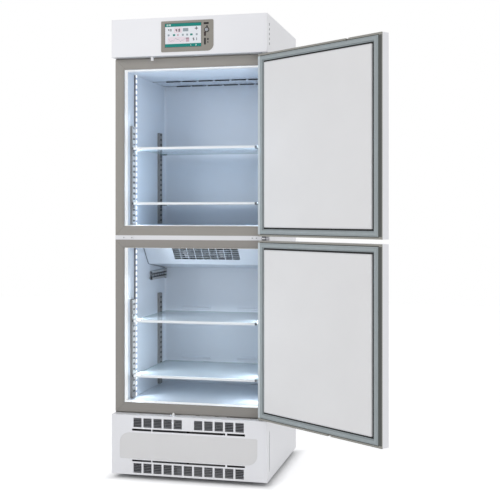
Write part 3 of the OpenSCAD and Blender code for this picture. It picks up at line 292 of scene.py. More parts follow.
def extruded(name, colour, outline, turned=False, seat=None):
    """Extruded plastic profile: draw lines along each bar, meeting at mitred corners.

    A seat, for the doors, is the gasket's place: its distances from the side and the end, and its width.
    Between the gasket and the pan the profile is painted near black as shade; outside the gasket runs a band
    of painted shade, and the upright strips there have a painted highlight on the hinge side and painted
    shade on the free side.
    """
    f = Finish(name, Specular_IOR_Level=0.4)
    place = f.door_place() if turned else f.place()
    x, _, z = f.xyz(place)
    half, low, high = outline
    from_side = half - abs(x)
    from_end = (z - low).lowest(high - z)
    upright = from_side < from_end
    cut, clear = 0.0003, 0.0008
    mitre = abs(from_side - from_end).ramp(cut, clear, 1.0, 0.0)
    fine, drawn = 900.0, 6.0
    along = f.noise(1.0, f.stretched(place, (fine, fine, drawn)))
    across = f.noise(1.0, f.stretched(place, (drawn, fine, fine)))
    lines = upright * along + (1.0 - upright) * across
    tint = f.mix(lines, shade(colour, 0.90), shade(colour, 1.06))
    tint = f.mix(mitre * 0.7, tint, shade(colour, 0.35))
    if seat:
        side, end, wide = seat
        shade_wide, lap, fold = 0.0035, 0.001, 0.0006
        inward = (from_side - side).lowest(from_end - end)
        # Painted shade in a band outside the gasket; on the upright strips outside it, a painted highlight
        # on the hinge side and painted shade on the free side
        shaded = (inward > -shade_wide) * (inward < 0.0)
        edge = (from_side < side) * (from_end > end - lap) * (from_side > fold)
        tint = f.mix(edge * (x > 0.0), tint, tone(196, 203, 206))
        tint = f.mix(shaded.highest(edge * (x < 0.0)), tint, tone(78, 80, 77))
        # Painted shade, near black, between the gasket and the pan
        groove = inward > wide - lap
        tint = f.mix(groove, tint, tone(22, 23, 24))
    f.colour(tint)
    f.rough(0.42 + 0.14 * lines)
    f.bump(lines - mitre, 0.00006, 0.6)
    return f.material


def brushed(name, colour, grain=(8.0, 8.0, 700.0)):
    """Brushed metal: fine scratches drawn out along the direction in which the grain is low."""
    f = Finish(name, Metallic=1.0)
    scratch = f.noise(1.0, f.stretched(f.place(), grain), 4.0, 0.65)
    smear = f.noise(18.0)
    f.colour(f.mix(scratch, shade(colour, 0.82), shade(colour, 1.10)))
    f.rough(0.26 + 0.12 * scratch + 0.08 * smear)
    f.bump(scratch, 0.00003, 0.5)
    return f.material


def galvanised(name, colour, painted_shade_zone=None, zinc=0.5, roughness=0.34):
    """Zinc coated steel: flat crystals of slightly different greys, with painted shade, near black and not
    metal, where the given zone is one.
    """
    f = Finish(name)
    crystals = f.cells(260.0)
    shadow = f.noise(40.0, detail=3.0)
    tint, metal = f.mix(crystals, shade(colour, 0.84), shade(colour, 1.10)), zinc
    if painted_shade_zone:
        # Painted shade: inside the zone the steel turns near black and loses its metal
        inside = painted_shade_zone(*f.xyz())
        tint, metal = f.mix(inside, tint, PAINTED_SHADE), zinc * (1.0 - inside)
    f.colour(tint)
    f.metal(metal)
    f.rough(roughness + 0.18 * shadow)
    f.bump(crystals, 0.00003, 0.3)
    return f.material


def moulded(name, colour, roughness, grain=1100.0, depth=0.00003, turned=False, pocket=None):
    """Moulded plastic: a fine spark-eroded grain and a faint flow shade.

    A pocket, for the doors, is the place (x, z) of the taupe pocket that clears a switch peg.
    """
    f = Finish(name)
    place = f.door_place() if turned else f.place()
    pits = f.cells(grain, place)
    flow = f.noise(5.0, place)
    tint = f.mix(flow, shade(colour, 0.965), shade(colour, 1.03))
    if pocket:
        x, y, z = f.xyz(place)
        here = (abs(x - pocket[0]) < PEG_POCKET[0]) * (abs(z - pocket[1]) < PEG_POCKET[1])
        tint = f.mix(here * (y > PEG_POCKET[2]), tint, tone(140, 137, 131))
    f.colour(tint)
    f.rough(roughness - 0.04 + 0.10 * pits)
    f.bump(pits, depth, 0.6)
    return f.material


def rubber(name, colour, turned=False, seal=None):
    """Soft rubber: dusty bloom, matt skin and faint moulding ripples.

    A seal, for the doors, is the height of the door's lower and upper end: the outer lip is paler, a painted
    highlight, and a line of painted shade runs beside each lip.
    """
    f = Finish(name, Specular_IOR_Level=0.3)
    place = f.door_place() if turned else f.place()
    bloom = f.noise(45.0, place, 4.0)
    ripple = f.noise(1.0, f.stretched(place, (900.0,) * 3))
    tint = f.mix(bloom, shade(colour, 0.90), shade(colour, 1.10))
    if seal:
        x, _, z = f.xyz(place)
        from_end = (z - seal[0]).lowest(seal[1] - z) - GASKET_END
        inward = (DOOR_HALF - GASKET_SIDE - abs(x)).lowest(from_end)
        lip, outer_line, inner_line, half_line = 0.0032, 0.0036, 0.0164, 0.0006
        # Painted highlight on the outer lip, and lines of painted shade beside the lips
        tint = f.mix(inward < lip, tint, shade(colour, 1.20))
        lines = (abs(inward - outer_line) < half_line).highest(abs(inward - inner_line) < half_line)
        tint = f.mix(lines, tint, shade(colour, 0.60))
    f.colour(tint)
    f.rough(0.62 + 0.14 * bloom)
    f.bump(ripple, 0.00004, 0.5)
    return f.material


def liner_paint(name, colour, rails):
    """Cold store liner: pale satin steel, a collar of painted light, whiter and glowing, and painted shade
    in strips behind the shelf rails.
    """
    f = Finish(name, Coat_Roughness=0.25, Emission_Strength=0.13)
    _, y, z = f.xyz()
    cloud = f.noise(4.0, detail=3.0)
    tint = f.mix(cloud, shade(colour, 0.97), shade(colour, 1.02))
    # Painted shade, near black, on the wall inside each rail's channel
    for y0, y1, z0, z1 in rails:
        inside = (y > y0) * (y < y1) * (z > z0) * (z < z1)
        tint = f.mix(inside, tint, PAINTED_SHADE)
    # Painted light: in front of COLLAR the liner is whiter and glows
    collar = y < COLLAR
    f.glow(f.mix(collar, UNLIT, tone(255, 250, 240)))
    f.colour(f.mix(collar, tint, tone(250, 249, 248)))
    f.rough(0.34 + 0.08 * f.noise(70.0))
    f.coat(0.3)
    f.bump(f.noise(650.0), 0.00003, 0.4)
    return f.material


def painted_shade_sheet(name, colour, inside):
    """Liner sheet whose inner side, where inside(x, y, z) is one, is painted near black as shade."""
    f = Finish(name, Coat_Roughness=0.25)
    tint = f.mix(f.noise(4.0, detail=3.0), shade(colour, 0.97), shade(colour, 1.02))
    # Painted shade on the inner side
    f.colour(f.mix(inside(*f.xyz()), tint, tone(30, 32, 36)))
    f.rough(0.34 + 0.08 * f.noise(70.0))
    f.coat(0.3)
    f.bump(f.noise(650.0), 0.00003, 0.4)
    return f.material


def shelf_glass(name):
    """Tempered float glass with a frosted print: milky across the plate, sea green in the ground edges."""
    f = Finish(name, IOR=1.5, Specular_IOR_Level=0.55)
    x, y, _ = f.xyz()
    low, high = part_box("shelf_glass_1")
    half_deep = (high.y - low.y) / 2
    inner, outer = 0.0012, 0.0002
    edge_x = abs(x).ramp(high.x - inner, high.x - outer)
    edge_y = abs(y - (low.y + high.y) / 2).ramp(half_deep - inner, half_deep - outer)
    edge = edge_x.highest(edge_y)
    haze = f.noise(9.0, detail=3.0)
    f.colour(f.mix(edge, tone(214, 225, 232), tone(150, 190, 182)))
    f.rough(0.06 + 0.04 * haze + 0.25 * edge)
    f.feed(f.shader.inputs["Alpha"], 0.64 + 0.04 * haze + 0.2 * edge)
    return f.material


def light_strip(name):
    """Light profile: dark grey flanks and a milky lens over a row of bright diodes.

    A diode's spot is full where step^2 + 0.4 off^2 is under 30 square millimetres, and gone at 100.
    """
    f = Finish(name, Emission_Strength=LED_POWER)
    _, y, z = f.xyz()
    on_lens = (y > led_low.y + LENS_INSET) * (y < led_high.y - LENS_INSET)
    step = (z % LED_PITCH) - LED_PITCH / 2
    off = y - (led_low.y + led_high.y) / 2
    full, gone = 0.000030, 0.000100
    spot = (step * step + off * off * 0.4).ramp(full, gone, 1.0, 0.0)
    lens = f.mix(spot, tone(112, 126, 150), tone(255, 255, 255))
    f.colour(f.mix(on_lens, tone(116, 118, 122), tone(90, 98, 114)))
    f.glow(f.mix(on_lens, UNLIT, lens))
    f.rough(0.25 + 0.1 * f.noise(50.0))
    return f.material


def zoned(name, base, zone, colour, shine, roughness, grain=500.0):
    """One casting of two finishes: where zone(x, y, z) is one, it has another colour and metal."""
    f = Finish(name)
    here = zone(*f.xyz())
    tint = f.mix(f.noise(30.0), shade(base, 0.92), shade(base, 1.08))
    f.colour(f.mix(here, tint, colour))
    if shine:
        f.metal(here * shine)
    f.rough(roughness + 0.1 * f.noise(80.0))
    f.bump(f.noise(grain), 0.00004, 0.4)
    return f.material


def foam(name):
    """Rigid foam: cream with a mottled skin of closed cells, and painted shade, near black, round the upper
    coil.
    """
    f = Finish(name)
    x, y, z = f.xyz()
    cell = f.cells(420.0)
    half, front, back, low, high = COIL_ROOM
    coil_room = (abs(x) < half) * (y > front) * (y < back) * (z > low) * (z < high)
    cream = f.mix(cell, tone(214, 200, 158), tone(240, 230, 196))
    # Painted shade in the room round the upper coil
    f.colour(f.mix(coil_room, cream, tone(34, 36, 40)))
    f.rough(0.85 + 0.1 * cell)
    f.bump(cell, 0.0004, 0.8)
    return f.material


def lit(name, colour, strength):
    """A lit area of the display: two sine waves cross in the faint cells of the panel."""
    f = Finish(name, Roughness=0.2, Specular_IOR_Level=0.12, Emission_Strength=strength)
    wave = 9000.0
    x, _, z = f.xyz()
    pixel = ((x * wave).sine() * (z * wave).sine()).ramp(-1.0, 1.0)
    f.glow(f.mix(pixel, shade(colour, 0.94), colour))
    f.colour(f.mix(pixel, shade(colour, 0.20), shade(colour, 0.26)))
    return f.material


# Meshes

def grid_faces(rows, columns, wrap_rows=False, wrap_columns=False):
    """Quads of a grid of points, as index rows; a wrapped side closes on itself."""
    r = np.arange(rows if wrap_rows else rows - 1)
    c = np.arange(columns if wrap_columns else columns - 1)
    a, b = np.meshgrid(r, c, indexing="ij")
    a, b = a.ravel(), b.ravel()
    a2, b2 = (a + 1) % rows, (b + 1) % columns
    return np.stack([a * columns + b, a2 * columns + b, a2 * columns + b2, a * columns + b2], axis=1)


def together(shapes):
    """Joins (points, faces) shapes into one pair, shifting the indices."""
    shift = np.cumsum([0] + [len(points) for points, _ in shapes[:-1]])
    faces = [(f + s).tolist() for (_, f), s in zip(shapes, shift)]
    return np.concatenate([p for p, _ in shapes]), sum(faces, [])


def piece(name, shapes, material, body, smooth=True, replaced=()):
    """One object from shapes: doubles merged, faces turned outwards, riding on its body."""
    points, faces = together(shapes)
    mesh = bpy.data.meshes.new(name)
    mesh.from_pydata(points.tolist(), [], [list(dict.fromkeys(f)) for f in faces])
    work = bmesh.new()
    work.from_mesh(mesh)
    bmesh.ops.remove_doubles(work, verts=work.verts, dist=1e-6)
    bmesh.ops.recalc_face_normals(work, faces=work.faces)
    work.to_mesh(mesh)
    work.free()
    mesh.materials.append(material)
    for polygon in mesh.polygons:
        polygon.use_smooth = smooth
    if smooth:
        mesh.set_sharp_from_angle(angle=math.radians(35))
    made = bpy.data.objects.new(name, mesh)
    bpy.context.scene.collection.objects.link(made)
    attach(made, body)
    if replaced:
        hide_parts(*replaced)


def revolved(profile, centre, turns):
    """Turns (radius, depth) points about the line through centre along y."""
    radius, depth = np.array(profile).T
    angle = np.linspace(0, 2 * math.pi, turns, endpoint=False)
    along = np.repeat(depth[:, None], turns, axis=1)
    points = np.stack([radius[:, None] * np.cos(angle), along, radius[:, None] * np.sin(angle)], axis=2)
    return points.reshape(-1, 3) + np.array(centre), grid_faces(len(radius), turns, wrap_columns=True)


def plate(outline, y_back, y_front):
    """A flat plate in x and z: outline points, closed by a cap on each side."""
    outline = np.array(outline)
    count = len(outline)
    layers = [np.column_stack([outline[:, 0], np.full(count, y), outline[:, 1]]) for y in (y_back, y_front)]
    middle = outline.mean(axis=0)
    caps = np.array([[middle[0], y_back, middle[1]], [middle[0], y_front, middle[1]]])
    points = np.concatenate([*layers, caps])
    i = np.arange(count)
    j = (i + 1) % count
    walls = np.stack([i, j, j + count, i + count], axis=1)
    back = np.stack([i, j, *[np.full(count, 2 * count)] * 2], axis=1)
    front = np.stack([i + count, j + count, *[np.full(count, 2 * count + 1)] * 2], axis=1)
    return points, np.concatenate([walls, back, front])


def rounded(x0, x1, z0, z1, radius):
    """Outline of a rectangle with quarter circles of one radius at its corners."""
    turn = np.linspace(0, math.pi / 2, 5)
    corners = [(x1 - radius, z1 - radius, 0), (x0 + radius, z1 - radius, 1),
               (x0 + radius, z0 + radius, 2), (x1 - radius, z0 + radius, 3)]
    return np.concatenate([np.column_stack([x + radius * np.cos(turn + k * math.pi / 2),
                                            z + radius * np.sin(turn + k * math.pi / 2)])
                           for x, z, k in corners])


def on_door(points):
    """Turns points of the closed door to where the open door stands."""
    x, y = points[:, 0] - PIN[0], points[:, 1] - PIN[1]
    return np.column_stack([PIN[0] + COS * x - SIN * y, PIN[1] + SIN * x + COS * y, points[:, 2]])


SCREW_SUNK = 0.0002


def screw_head(centre, facing, radius, height):
    """Pan head with a cross recess: height falls off as a dome, and sinks where the cross is cut.

    The grid runs over radius and angle; inside the cross |u| or |v| is under a sixth of the radius.
    The head faces along y, forwards at -1 and backwards at 1.
    """
    ring = np.array([0.0, 0.12, 0.24, 0.36, 0.5, 0.62, 0.78, 0.92, 1.0, 1.0]) * radius
    turns = 24
    angle = np.linspace(0, 2 * math.pi, turns, endpoint=False)
    u, v = ring[:, None] * np.cos(angle), ring[:, None] * np.sin(angle)
    dome = height * np.sqrt(np.clip(1 - 0.75 * (np.hypot(u, v) / radius) ** 2, 0, 1))
    arm = (np.minimum(abs(u), abs(v)) < radius / 6) & (np.hypot(u, v) < radius * 0.55)
    rise = np.where(arm, dome - 0.55 * height, dome)
    rise[-1] = -SCREW_SUNK
    points = np.stack([u, rise * facing, v], axis=2).reshape(-1, 3) + np.array(centre)
    return points, grid_faces(len(ring), turns, wrap_columns=True)


# Materials on the CAD nodes

def wear(material, *names):
    """Gives CAD nodes their finish."""
    for name in names:
        nodes[name].data.materials.clear()
        nodes[name].data.materials.append(material)


WHITE = tone(233, 233, 236)
# The lower frame's taupe is a darker copy of the upper's: painted shade
FRAME_TONE_SHADED_BELOW = {"upper": tone(154, 150, 144), "lower": tone(147, 143, 138)}
# The liner is white with a faint blue tint: painted light, the blue cast of the light inside
LINER_BLUE_CAST = tone(223, 230, 239)
PALE = tone(219, 218, 218)
PAN = tone(228, 227, 227)

wear(powder_coat("powder_white", WHITE),
     "side_skin_left", "side_skin_right", "back_skin", "top_skin", "head_cover")
wear(powder_coat("louvre_white", WHITE, louvred=True), "base_cover")
wear(powder_coat("door_white", WHITE, turned=True), "door_skin_upper", "door_skin_lower")
wear(powder_coat("strip_white", tone(226, 226, 229)), "mullion_strip", "mullion_cover")
# The head's underside is the cabinet white darkened: painted shade
wear(powder_coat("head_underside", tone(206, 207, 210)), "head_floor")
wear(powder_coat("panel_grey", PALE, 0.42), "base_panel")
wear(galvanised("zinc_tray", tone(168, 170, 172)), "base_tray")

for which in ("upper", "lower"):
    low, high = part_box("frame_" + which)
    wear(extruded("frame_taupe_" + which, FRAME_TONE_SHADED_BELOW[which], (SIDE, low.z, high.z)), "frame_" + which)
    low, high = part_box("door_profile_" + which)
    wear(extruded("door_taupe_" + which, tone(152, 150, 143), (DOOR_HALF, low.z, high.z), True,
                  (GASKET_SIDE, GASKET_END, GASKET_WIDE)), "door_profile_" + which)

rail_spans = []
for y0 in (rail_low.y, rail_high.y - RAIL_WIDE):
    for z0 in (rail_low.z, rail_high.z - RAIL_TALL):
        rail_spans.append((y0 + RAIL_WALL, y0 + RAIL_WIDE - RAIL_WALL, z0, z0 + RAIL_TALL))
wear(liner_paint("liner_satin", LINER_BLUE_CAST, rail_spans), "liner_upper", "liner_lower")


def in_housing(x, y, z):
    """One behind the sloping face and above the underside of the housing, deeper than its sheet."""
    y0, z0 = housing_low.y, housing_high.z
    run = housing_high.y - y0 - HOUSING_BACK
    slope, fall = math.hypot(HOUSING_BACK, HOUSING_DROP), math.hypot(HOUSING_FALL, run)
    behind = ((y - y0) * HOUSING_DROP + (z - z0) * HOUSING_BACK) / slope
    above = ((y - y0 - HOUSING_BACK) * HOUSING_FALL + (z - z0 + HOUSING_DROP) * run) / fall
    return (behind > SHEET) * (above > SHEET) * (abs(x) < housing_high.x - SHEET)


# Painted shade inside the housing and its grille
wear(painted_shade_sheet("housing_sheet", LINER_BLUE_CAST, in_housing), "evap_housing", "evap_grille")


def over_ceiling(_x, y, z):
    """One above the ceiling sheet, and inside its vents, whose floors rise by one in three."""
    sheet, behind_collar, vent_deep, vent_drop = 0.0012, 0.012, 0.018, 0.0054
    here = (z > CEILING + sheet) * (y > COLLAR + behind_collar)
    for back in CEILING_VENTS:
        run = y - (CEILING_BACK - back)
        here = (run > -0.0005) * (run < vent_deep) * (z - run / 3 > CEILING - vent_drop) + here
    return here > 0.5


# Painted shade above the ceiling sheet and in its vents
wear(painted_shade_sheet("ceiling_sheet", LINER_BLUE_CAST, over_ceiling), "ceiling_panel")


def in_rail(x, y, z):
    """One where shade is painted: inside the channels of the shelf rails, and on the edges of their slots.
    """
    face_sheet = 0.0013
    spans, middle, rows = 0.0, 0.0, 0.0
    for y0, y1, *_ in rail_spans[::2]:
        spans = (y > y0 - 2 * EDGE) * (y < y1 + 2 * EDGE) + spans
        middle = (abs(y - (y0 + y1) / 2) < SLOT_HALF) + middle
    for first, count in SLOT_ROWS:
        last = first + count * SLOT_PITCH
        rows = (((z - first) % SLOT_PITCH) < SLOT_TALL) * (z > first) * (z < last) + rows
    return (spans * (abs(x) > rail_high.x - RAIL_OUT + face_sheet)).highest(middle * rows)


wear(galvanised("zinc_rail", tone(146, 145, 144), in_rail, 0.12, 0.48), "shelf_rails")


def in_channel(x, _y, z):
    """One where shade is painted: inside the wall channel, along its two slots and on its upper and lower
    edges.
    """
    lip, flange, off_wall, shaded = 0.0042, 0.0029, 0.004, 0.45
    lower, upper, half = 0.36, 0.66, 0.075
    inside = (x < channel_high.x - flange) * (z > channel_low.z + lip) * (z < channel_high.z - lip)
    part = (z - channel_low.z) / (channel_high.z - channel_low.z)
    slots = (abs(part - lower) < half).highest(abs(part - upper) < half)
    return inside.highest(slots).highest((abs(part - 0.5) > shaded) * (x > channel_low.x + off_wall))


wear(galvanised("zinc_channel", tone(186, 188, 190), in_channel), "wall_channel")
wear(shelf_glass("tempered_glass"), *[f"shelf_glass_{i}" for i in range(1, 5)])
wear(moulded("trim_white", tone(240, 243, 246), 0.22), "shelf_trims")
wear(brushed("clip_steel", tone(96, 100, 104)), "shelf_clips")
wear(light_strip("light_lens"), "led_strips")
for which, peg_side in (("upper", 1), ("lower", 0)):
    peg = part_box("switch_" + which)
    pocket = ((peg[0].x + peg[1].x) / 2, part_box("door_skin_" + which)[peg_side].z)
    wear(moulded("pan_abs_" + which, PAN, 0.32, 900.0, turned=True, pocket=pocket), "door_pan_" + which)
wear(rubber("gasket_plain", tone(168, 176, 180), turned=True), "door_gasket_upper", "door_gasket_lower")
wear(moulded("peg_nylon", tone(236, 236, 236), 0.3), "switch_upper", "switch_lower")
wear(brushed("hinge_steel", tone(168, 170, 172)), "hinge_top", "hinge_bottom")
wear(foam("foam_core"), "foam_left", "foam_right", "foam_back", "foam_top", "foam_mid", "foam_bottom")
wear(brushed("coil_fins", tone(178, 182, 186), (600.0, 5.0, 600.0)), "evap_coil")
wear(moulded("fan_black", tone(36, 37, 40), 0.4), "evap_fan_frames")
wear(brushed("rotor_alloy", tone(150, 153, 157)), "evap_rotor_left", "evap_rotor_right", "condenser_rotor")
wear(brushed("key_chrome", tone(136, 140, 148), (700.0, 8.0, 8.0)), "key_switch")
wear(moulded("screen_black", tone(24, 26, 30), 0.1, 2500.0, 0.00001), "screen")

# Castings of two finishes

PAD_TALL, STUB_TALL, FINS_DEEP, PIN_ROOM = 0.010, 0.018, 0.0439, 0.010
PORT_LEFT, PORT_HALF, PORT_UP = 0.002, 0.0118, 0.016
compressor_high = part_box("compressor")[1]
condenser_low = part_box("condenser")[0]


def over_pad(_x, _y, z):
    """One above the rubber pad of a foot."""
    return z > PAD_TALL


def on_stubs(_x, _y, z):
    """One on the copper stubs on top of the compressor."""
    return z > compressor_high.z - STUB_TALL


def in_fins(_x, y, _z):
    """One in the fins of the condenser, in front of its shroud."""
    return y < condenser_low.y + FINS_DEEP


def on_pin(x, y, _z):
    """One on the pin of the middle hinge."""
    return (abs(x - PIN[0]) < PIN_ROOM) * (abs(y - PIN[1]) < PIN_ROOM)


def in_port(x, y, z):
    """One on the floor of the port above the key, behind the face of the bezel."""
    across = abs(x - KEY_X + PORT_LEFT) < PORT_HALF
    return (y > BEZEL_FACE + 2 * EDGE) * across * (z > KEY_Z + PORT_UP)


wear(zoned("hinge_painted", tone(226, 226, 229), on_pin, tone(84, 86, 92), 0.8, 0.34), "hinge_mid")
wear(zoned("bezel_taupe", tone(141, 137, 129), in_port, tone(16, 16, 18), 0.0, 0.5, 1400.0), "control_bezel")
wear(zoned("foot_rubber_zinc", tone(40, 40, 42), over_pad, tone(180, 182, 185), 0.9, 0.5),
     "foot_front_left", "foot_front_right", "foot_rear_left", "foot_rear_right")
wear(zoned("compressor_enamel", tone(28, 28, 30), on_stubs, tone(184, 115, 80), 1.0, 0.32), "compressor")
wear(zoned("condenser_fins", tone(38, 39, 42), in_fins, tone(176, 180, 184), 0.9, 0.38), "condenser")


# Display: areas in millimetres from the lower left corner of the glass

LAYER = 0.00008


def tile(u0, u1, v0, v1, level, radius=0.0012):
    """A rounded area of the display; a higher level stands further in front of the glass."""
    x, y, z = screen_low
    radius = min(radius, (u1 - u0) * MM / 2.01, (v1 - v0) * MM / 2.01)
    outline = rounded(x + u0 * MM, x + u1 * MM, z + v0 * MM, z + v1 * MM, radius)
    return plate(outline, y + LAYER * (1 - level) / 2, y - LAYER * level)


SEGMENTS = {0: "abcdef", 1: "bc", 2: "abged", 3: "abgcd", 4: "fgbc", 5: "afgcd",
            6: "afgedc", 7: "abc", 8: "abcdefg", 9: "abcdfg"}


def digit(value, u, v, tall):
    """A seven segment figure, tall millimetres high, with its lower left corner at (u, v)."""
    wide, t, half = tall * 0.56, tall * 0.23, tall / 2
    bars = {"a": (0, wide, tall - t, tall), "d": (0, wide, 0, t), "g": (0, wide, half - t / 2, half + t / 2),
            "b": (wide - t, wide, half, tall), "c": (wide - t, wide, 0, half),
            "e": (0, t, 0, half), "f": (0, t, half, tall)}
    lit_bars = [bars[s] for s in SEGMENTS[value]]
    return [tile(u + left, u + right, v + low, v + high, 3, t * MM * 0.45)
            for left, right, low, high in lit_bars]


def figures(text, u, v, tall):
    """A row of seven segment figures, with stops and colons between them."""
    shapes, at = [], u
    for mark in text:
        if mark.isdigit():
            shapes += digit(int(mark), at, v, tall)
            at += tall * 0.76
        else:
            dot = tall * 0.14
            spots = [0.0] if mark == "." else [tall * 0.22, tall * 0.62]
            shapes += [tile(at, at + dot, v + s, v + s + dot, 3, dot * MM * 0.45) for s in spots]
            at += tall * 0.30
    return shapes


W, H = (screen_high.x - screen_low.x) / MM, (screen_high.z - screen_low.z) / MM
RIM_WIDE, BAR, ROW = 1.5, 15.0, (48, 56)
paper = [tile(RIM_WIDE, W - RIM_WIDE, RIM_WIDE, H - RIM_WIDE, 1)]
teal = [tile(RIM_WIDE, W - RIM_WIDE, H - BAR, H - RIM_WIDE, 2, 0.0006),
        tile(RIM_WIDE, W - RIM_WIDE, RIM_WIDE, BAR, 2, 0.0006),
        tile(36, 46, *ROW, 2), tile(112, 123, *ROW, 2)]
cards = [tile(41, 76, 60, 85, 2), tile(13, 91, 20, 44, 2)]
rose = [tile(54, 62, *ROW, 2), tile(93, 108, 22, 40, 2)]
soft = [tile(u, u + 8, *ROW, 2) for u in (13, 76, 95, 137)] + [tile(80, 104, 66, 80, 2)]
dark = figures("4.0", 15, 69, 9) + figures("5.1", 124, 27, 11)
dark += [tile(132, 147, 76, 79, 2, 0.0004), tile(138, 141, 71, 85, 2, 0.0004)]
dark += [tile(92, 106, 36, 38, 3, 0.0004)] + figures("4.0", 48, 66, 12)
pale = figures("10:42", 6, H - BAR + 4, 6.5) + figures("1", 112, 4.5, 6.5) + figures("2", 136, 4.5, 6.5)
trend_u = np.linspace(17, 87, 26)
trend_v = 31 + 5 * np.sin(trend_u / 6.5) + 2.5 * np.sin(trend_u / 2.3)
trend = [tile(u - 1.4, u + 1.4, v - 0.5, v + 0.5, 3, 0.0004) for u, v in zip(trend_u, trend_v)]

screen_colours = {
    "paper": (paper, tone(233, 237, 243), 0.70),
    "teal": (teal + trend, tone(4, 138, 128), 0.62),
    "cards": (cards, tone(238, 224, 233), 0.68),
    "rose": (rose, tone(212, 182, 196), 0.62),
    "soft": (soft, tone(160, 172, 180), 0.6),
    "dark": (dark, tone(36, 34, 42), 0.3),
    "pale": (pale, tone(232, 246, 244), 0.75),
}
for part, (shapes, colour, strength) in screen_colours.items():
    glow = lit("display_" + part, colour, strength)
    piece("display_" + part, shapes, glow, "cabinet", smooth=False)


# Controls on the bezel

def lamp(name, z0, z1, colour):
    """A lens in a dark surround, over its slot in the bezel."""
    x0, x1, wall, bend = KEY_X - 0.0098, KEY_X - 0.0052, 0.0018, 0.002
    around = rounded(x0 - wall, x1 + wall, z0 - wall, z1 + wall, bend + wall)
    surround = plate(around, BEZEL_FACE + EDGE, BEZEL_FACE - EDGE)
    piece(name + "_surround", [surround], printed, "cabinet")
    lens = plate(rounded(x0, x1, z0, z1, bend), BEZEL_FACE - 0.0002, BEZEL_FACE - 0.0006)
    piece(name, [lens], lit(name, colour, 0.15), "cabinet")


def glyph(points, right, up):
    """A printed sign on the bezel, its outline in millimetres about a point beside the key."""
    place = np.array([KEY_X + right, KEY_Z + up])
    return plate(place + np.array(points) * 1.25 * MM, BEZEL_FACE + 0.0001, BEZEL_FACE - 0.00012)


def disc(radius):
    """Outline of a round printed sign."""
    angle = np.linspace(0, 2 * math.pi, 20, endpoint=False)
    return np.column_stack([radius * np.cos(angle), radius * np.sin(angle)])


printed = moulded("print_black", tone(30, 29, 30), 0.4, 1800.0, 0.00001)
lamp("alarm_lens", KEY_Z - 0.0255, KEY_Z - 0.0095, tone(74, 22, 28))
lamp("power_lens", KEY_Z - 0.0615, KEY_Z - 0.0355, tone(24, 40, 36))
BELL = [(-4.2, -2.6), (4.2, -2.6), (3.0, -1.0), (2.4, 2.4),
        (1.0, 3.8), (-1.0, 3.8), (-2.4, 2.4), (-3.0, -1.0)]
DROP = [(0.0, 4.0), (-1.4, 1.2), (-2.6, -1.0), (-1.8, -3.0),
        (0.0, -3.8), (1.8, -3.0), (2.6, -1.0), (1.4, 1.2)]
signs = [glyph(BELL, 0.0015, 0.0138), glyph(disc(1.1), 0.0015, 0.0092),
         glyph(disc(3.6), 0.0052, -0.0400), glyph(DROP, 0.0052, -0.0515)]
piece("bezel_signs", signs, printed, "cabinet", smooth=False)
KEY_R = (key_high.z - key_low.z) / 2
COLLAR_PROFILE = [(0.5, -1.4), (0.7, -1.9), (1.8, -2.1), (3.0, -1.5), (3.6, -0.6), (3.8, 0.2)]
collar_points = [(KEY_R + outward * MM, depth * MM) for outward, depth in COLLAR_PROFILE]
collar_ring = revolved(collar_points, (KEY_X, BEZEL_FACE, KEY_Z), 32)
collar_dark = brushed("collar_dark", tone(58, 59, 62), (300.0,) * 3)
piece("key_collar", [collar_ring], collar_dark, "cabinet")


# Gaskets and pan rims: profiles carried round each door with mitred corners

BELLOWS = [(0.0, 0.0), (0.0, 1.6), (0.8, 2.2), (1.9, 2.4), (1.2, 3.0), (1.0, 3.7), (1.5, 4.3),
           (2.4, 4.6), (2.2, 5.3), (2.6, 5.9), (3.6, 6.2), (14.4, 6.2), (15.6, 5.9), (16.4, 5.2),
           (16.6, 4.4), (17.6, 3.9), (17.2, 3.1), (18.2, 2.6), (19.4, 2.2), (20.0, 1.6), (20.0, 0.0)]
RIM = [(1.0, -0.3), (1.0, 0.35), (1.5, 0.75), (2.5, 0.85), (3.4, 0.70), (4.2, 0.25), (4.8, -0.3)]


def round_door(which, profile, side, end, face):
    """Each profile point (inward, rise), in millimetres, goes round the corners of its own rectangle.

    The rectangle lies side and end inside the door's edges, and rises from the depth face.
    """
    low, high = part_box("door_skin_" + which)
    inward, rise = np.array(profile).T * MM
    x = DOOR_HALF - side - inward
    z0, z1 = low.z + end + inward, high.z - end - inward
    ring = [(-x, z0), (x, z0), (x, z1), (-x, z1)]
    points = np.stack([np.column_stack([across, face + rise, up]) for across, up in ring])
    return on_door(points.reshape(-1, 3)), grid_faces(4, len(x), True, True)


for which in ("upper", "lower"):
    low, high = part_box("door_skin_" + which)
    seal = rubber("gasket_rubber_" + which, tone(158, 166, 168), True, (low.z, high.z))
    piece("gasket_" + which, [round_door(which, BELLOWS, GASKET_SIDE, GASKET_END, DOOR_BACK)], seal,
          which + "_door", replaced=["door_gasket_" + which])

for which in ("upper", "lower"):
    rim_abs = moulded("rim_abs_" + which, tone(214, 214, 216), 0.3, 900.0, turned=True)
    piece("pan_rim_" + which, [round_door(which, RIM, PAN_SIDE, PAN_END, PAN_FACE)], rim_abs,
          which + "_door")


# Strips of painted shade over the slots of the sides, and beads of painted shade along the housing's ends

SIDE_SLOT_Y, SIDE_SLOT_STEP, SIDE_SLOT_TALL, SIDE_SLOT_WIDE = FRONT + 0.0456, 0.0204, 0.0114, 0.0085
HEAD_SLOTS = [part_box("head_cover")[0].z + 0.034 + k * SIDE_SLOT_STEP for k in range(5)]
BASE_SLOT_LOW, BASE_SLOT_TALL, BASE_SLOT_WIDE = 0.054, 0.174, 0.006


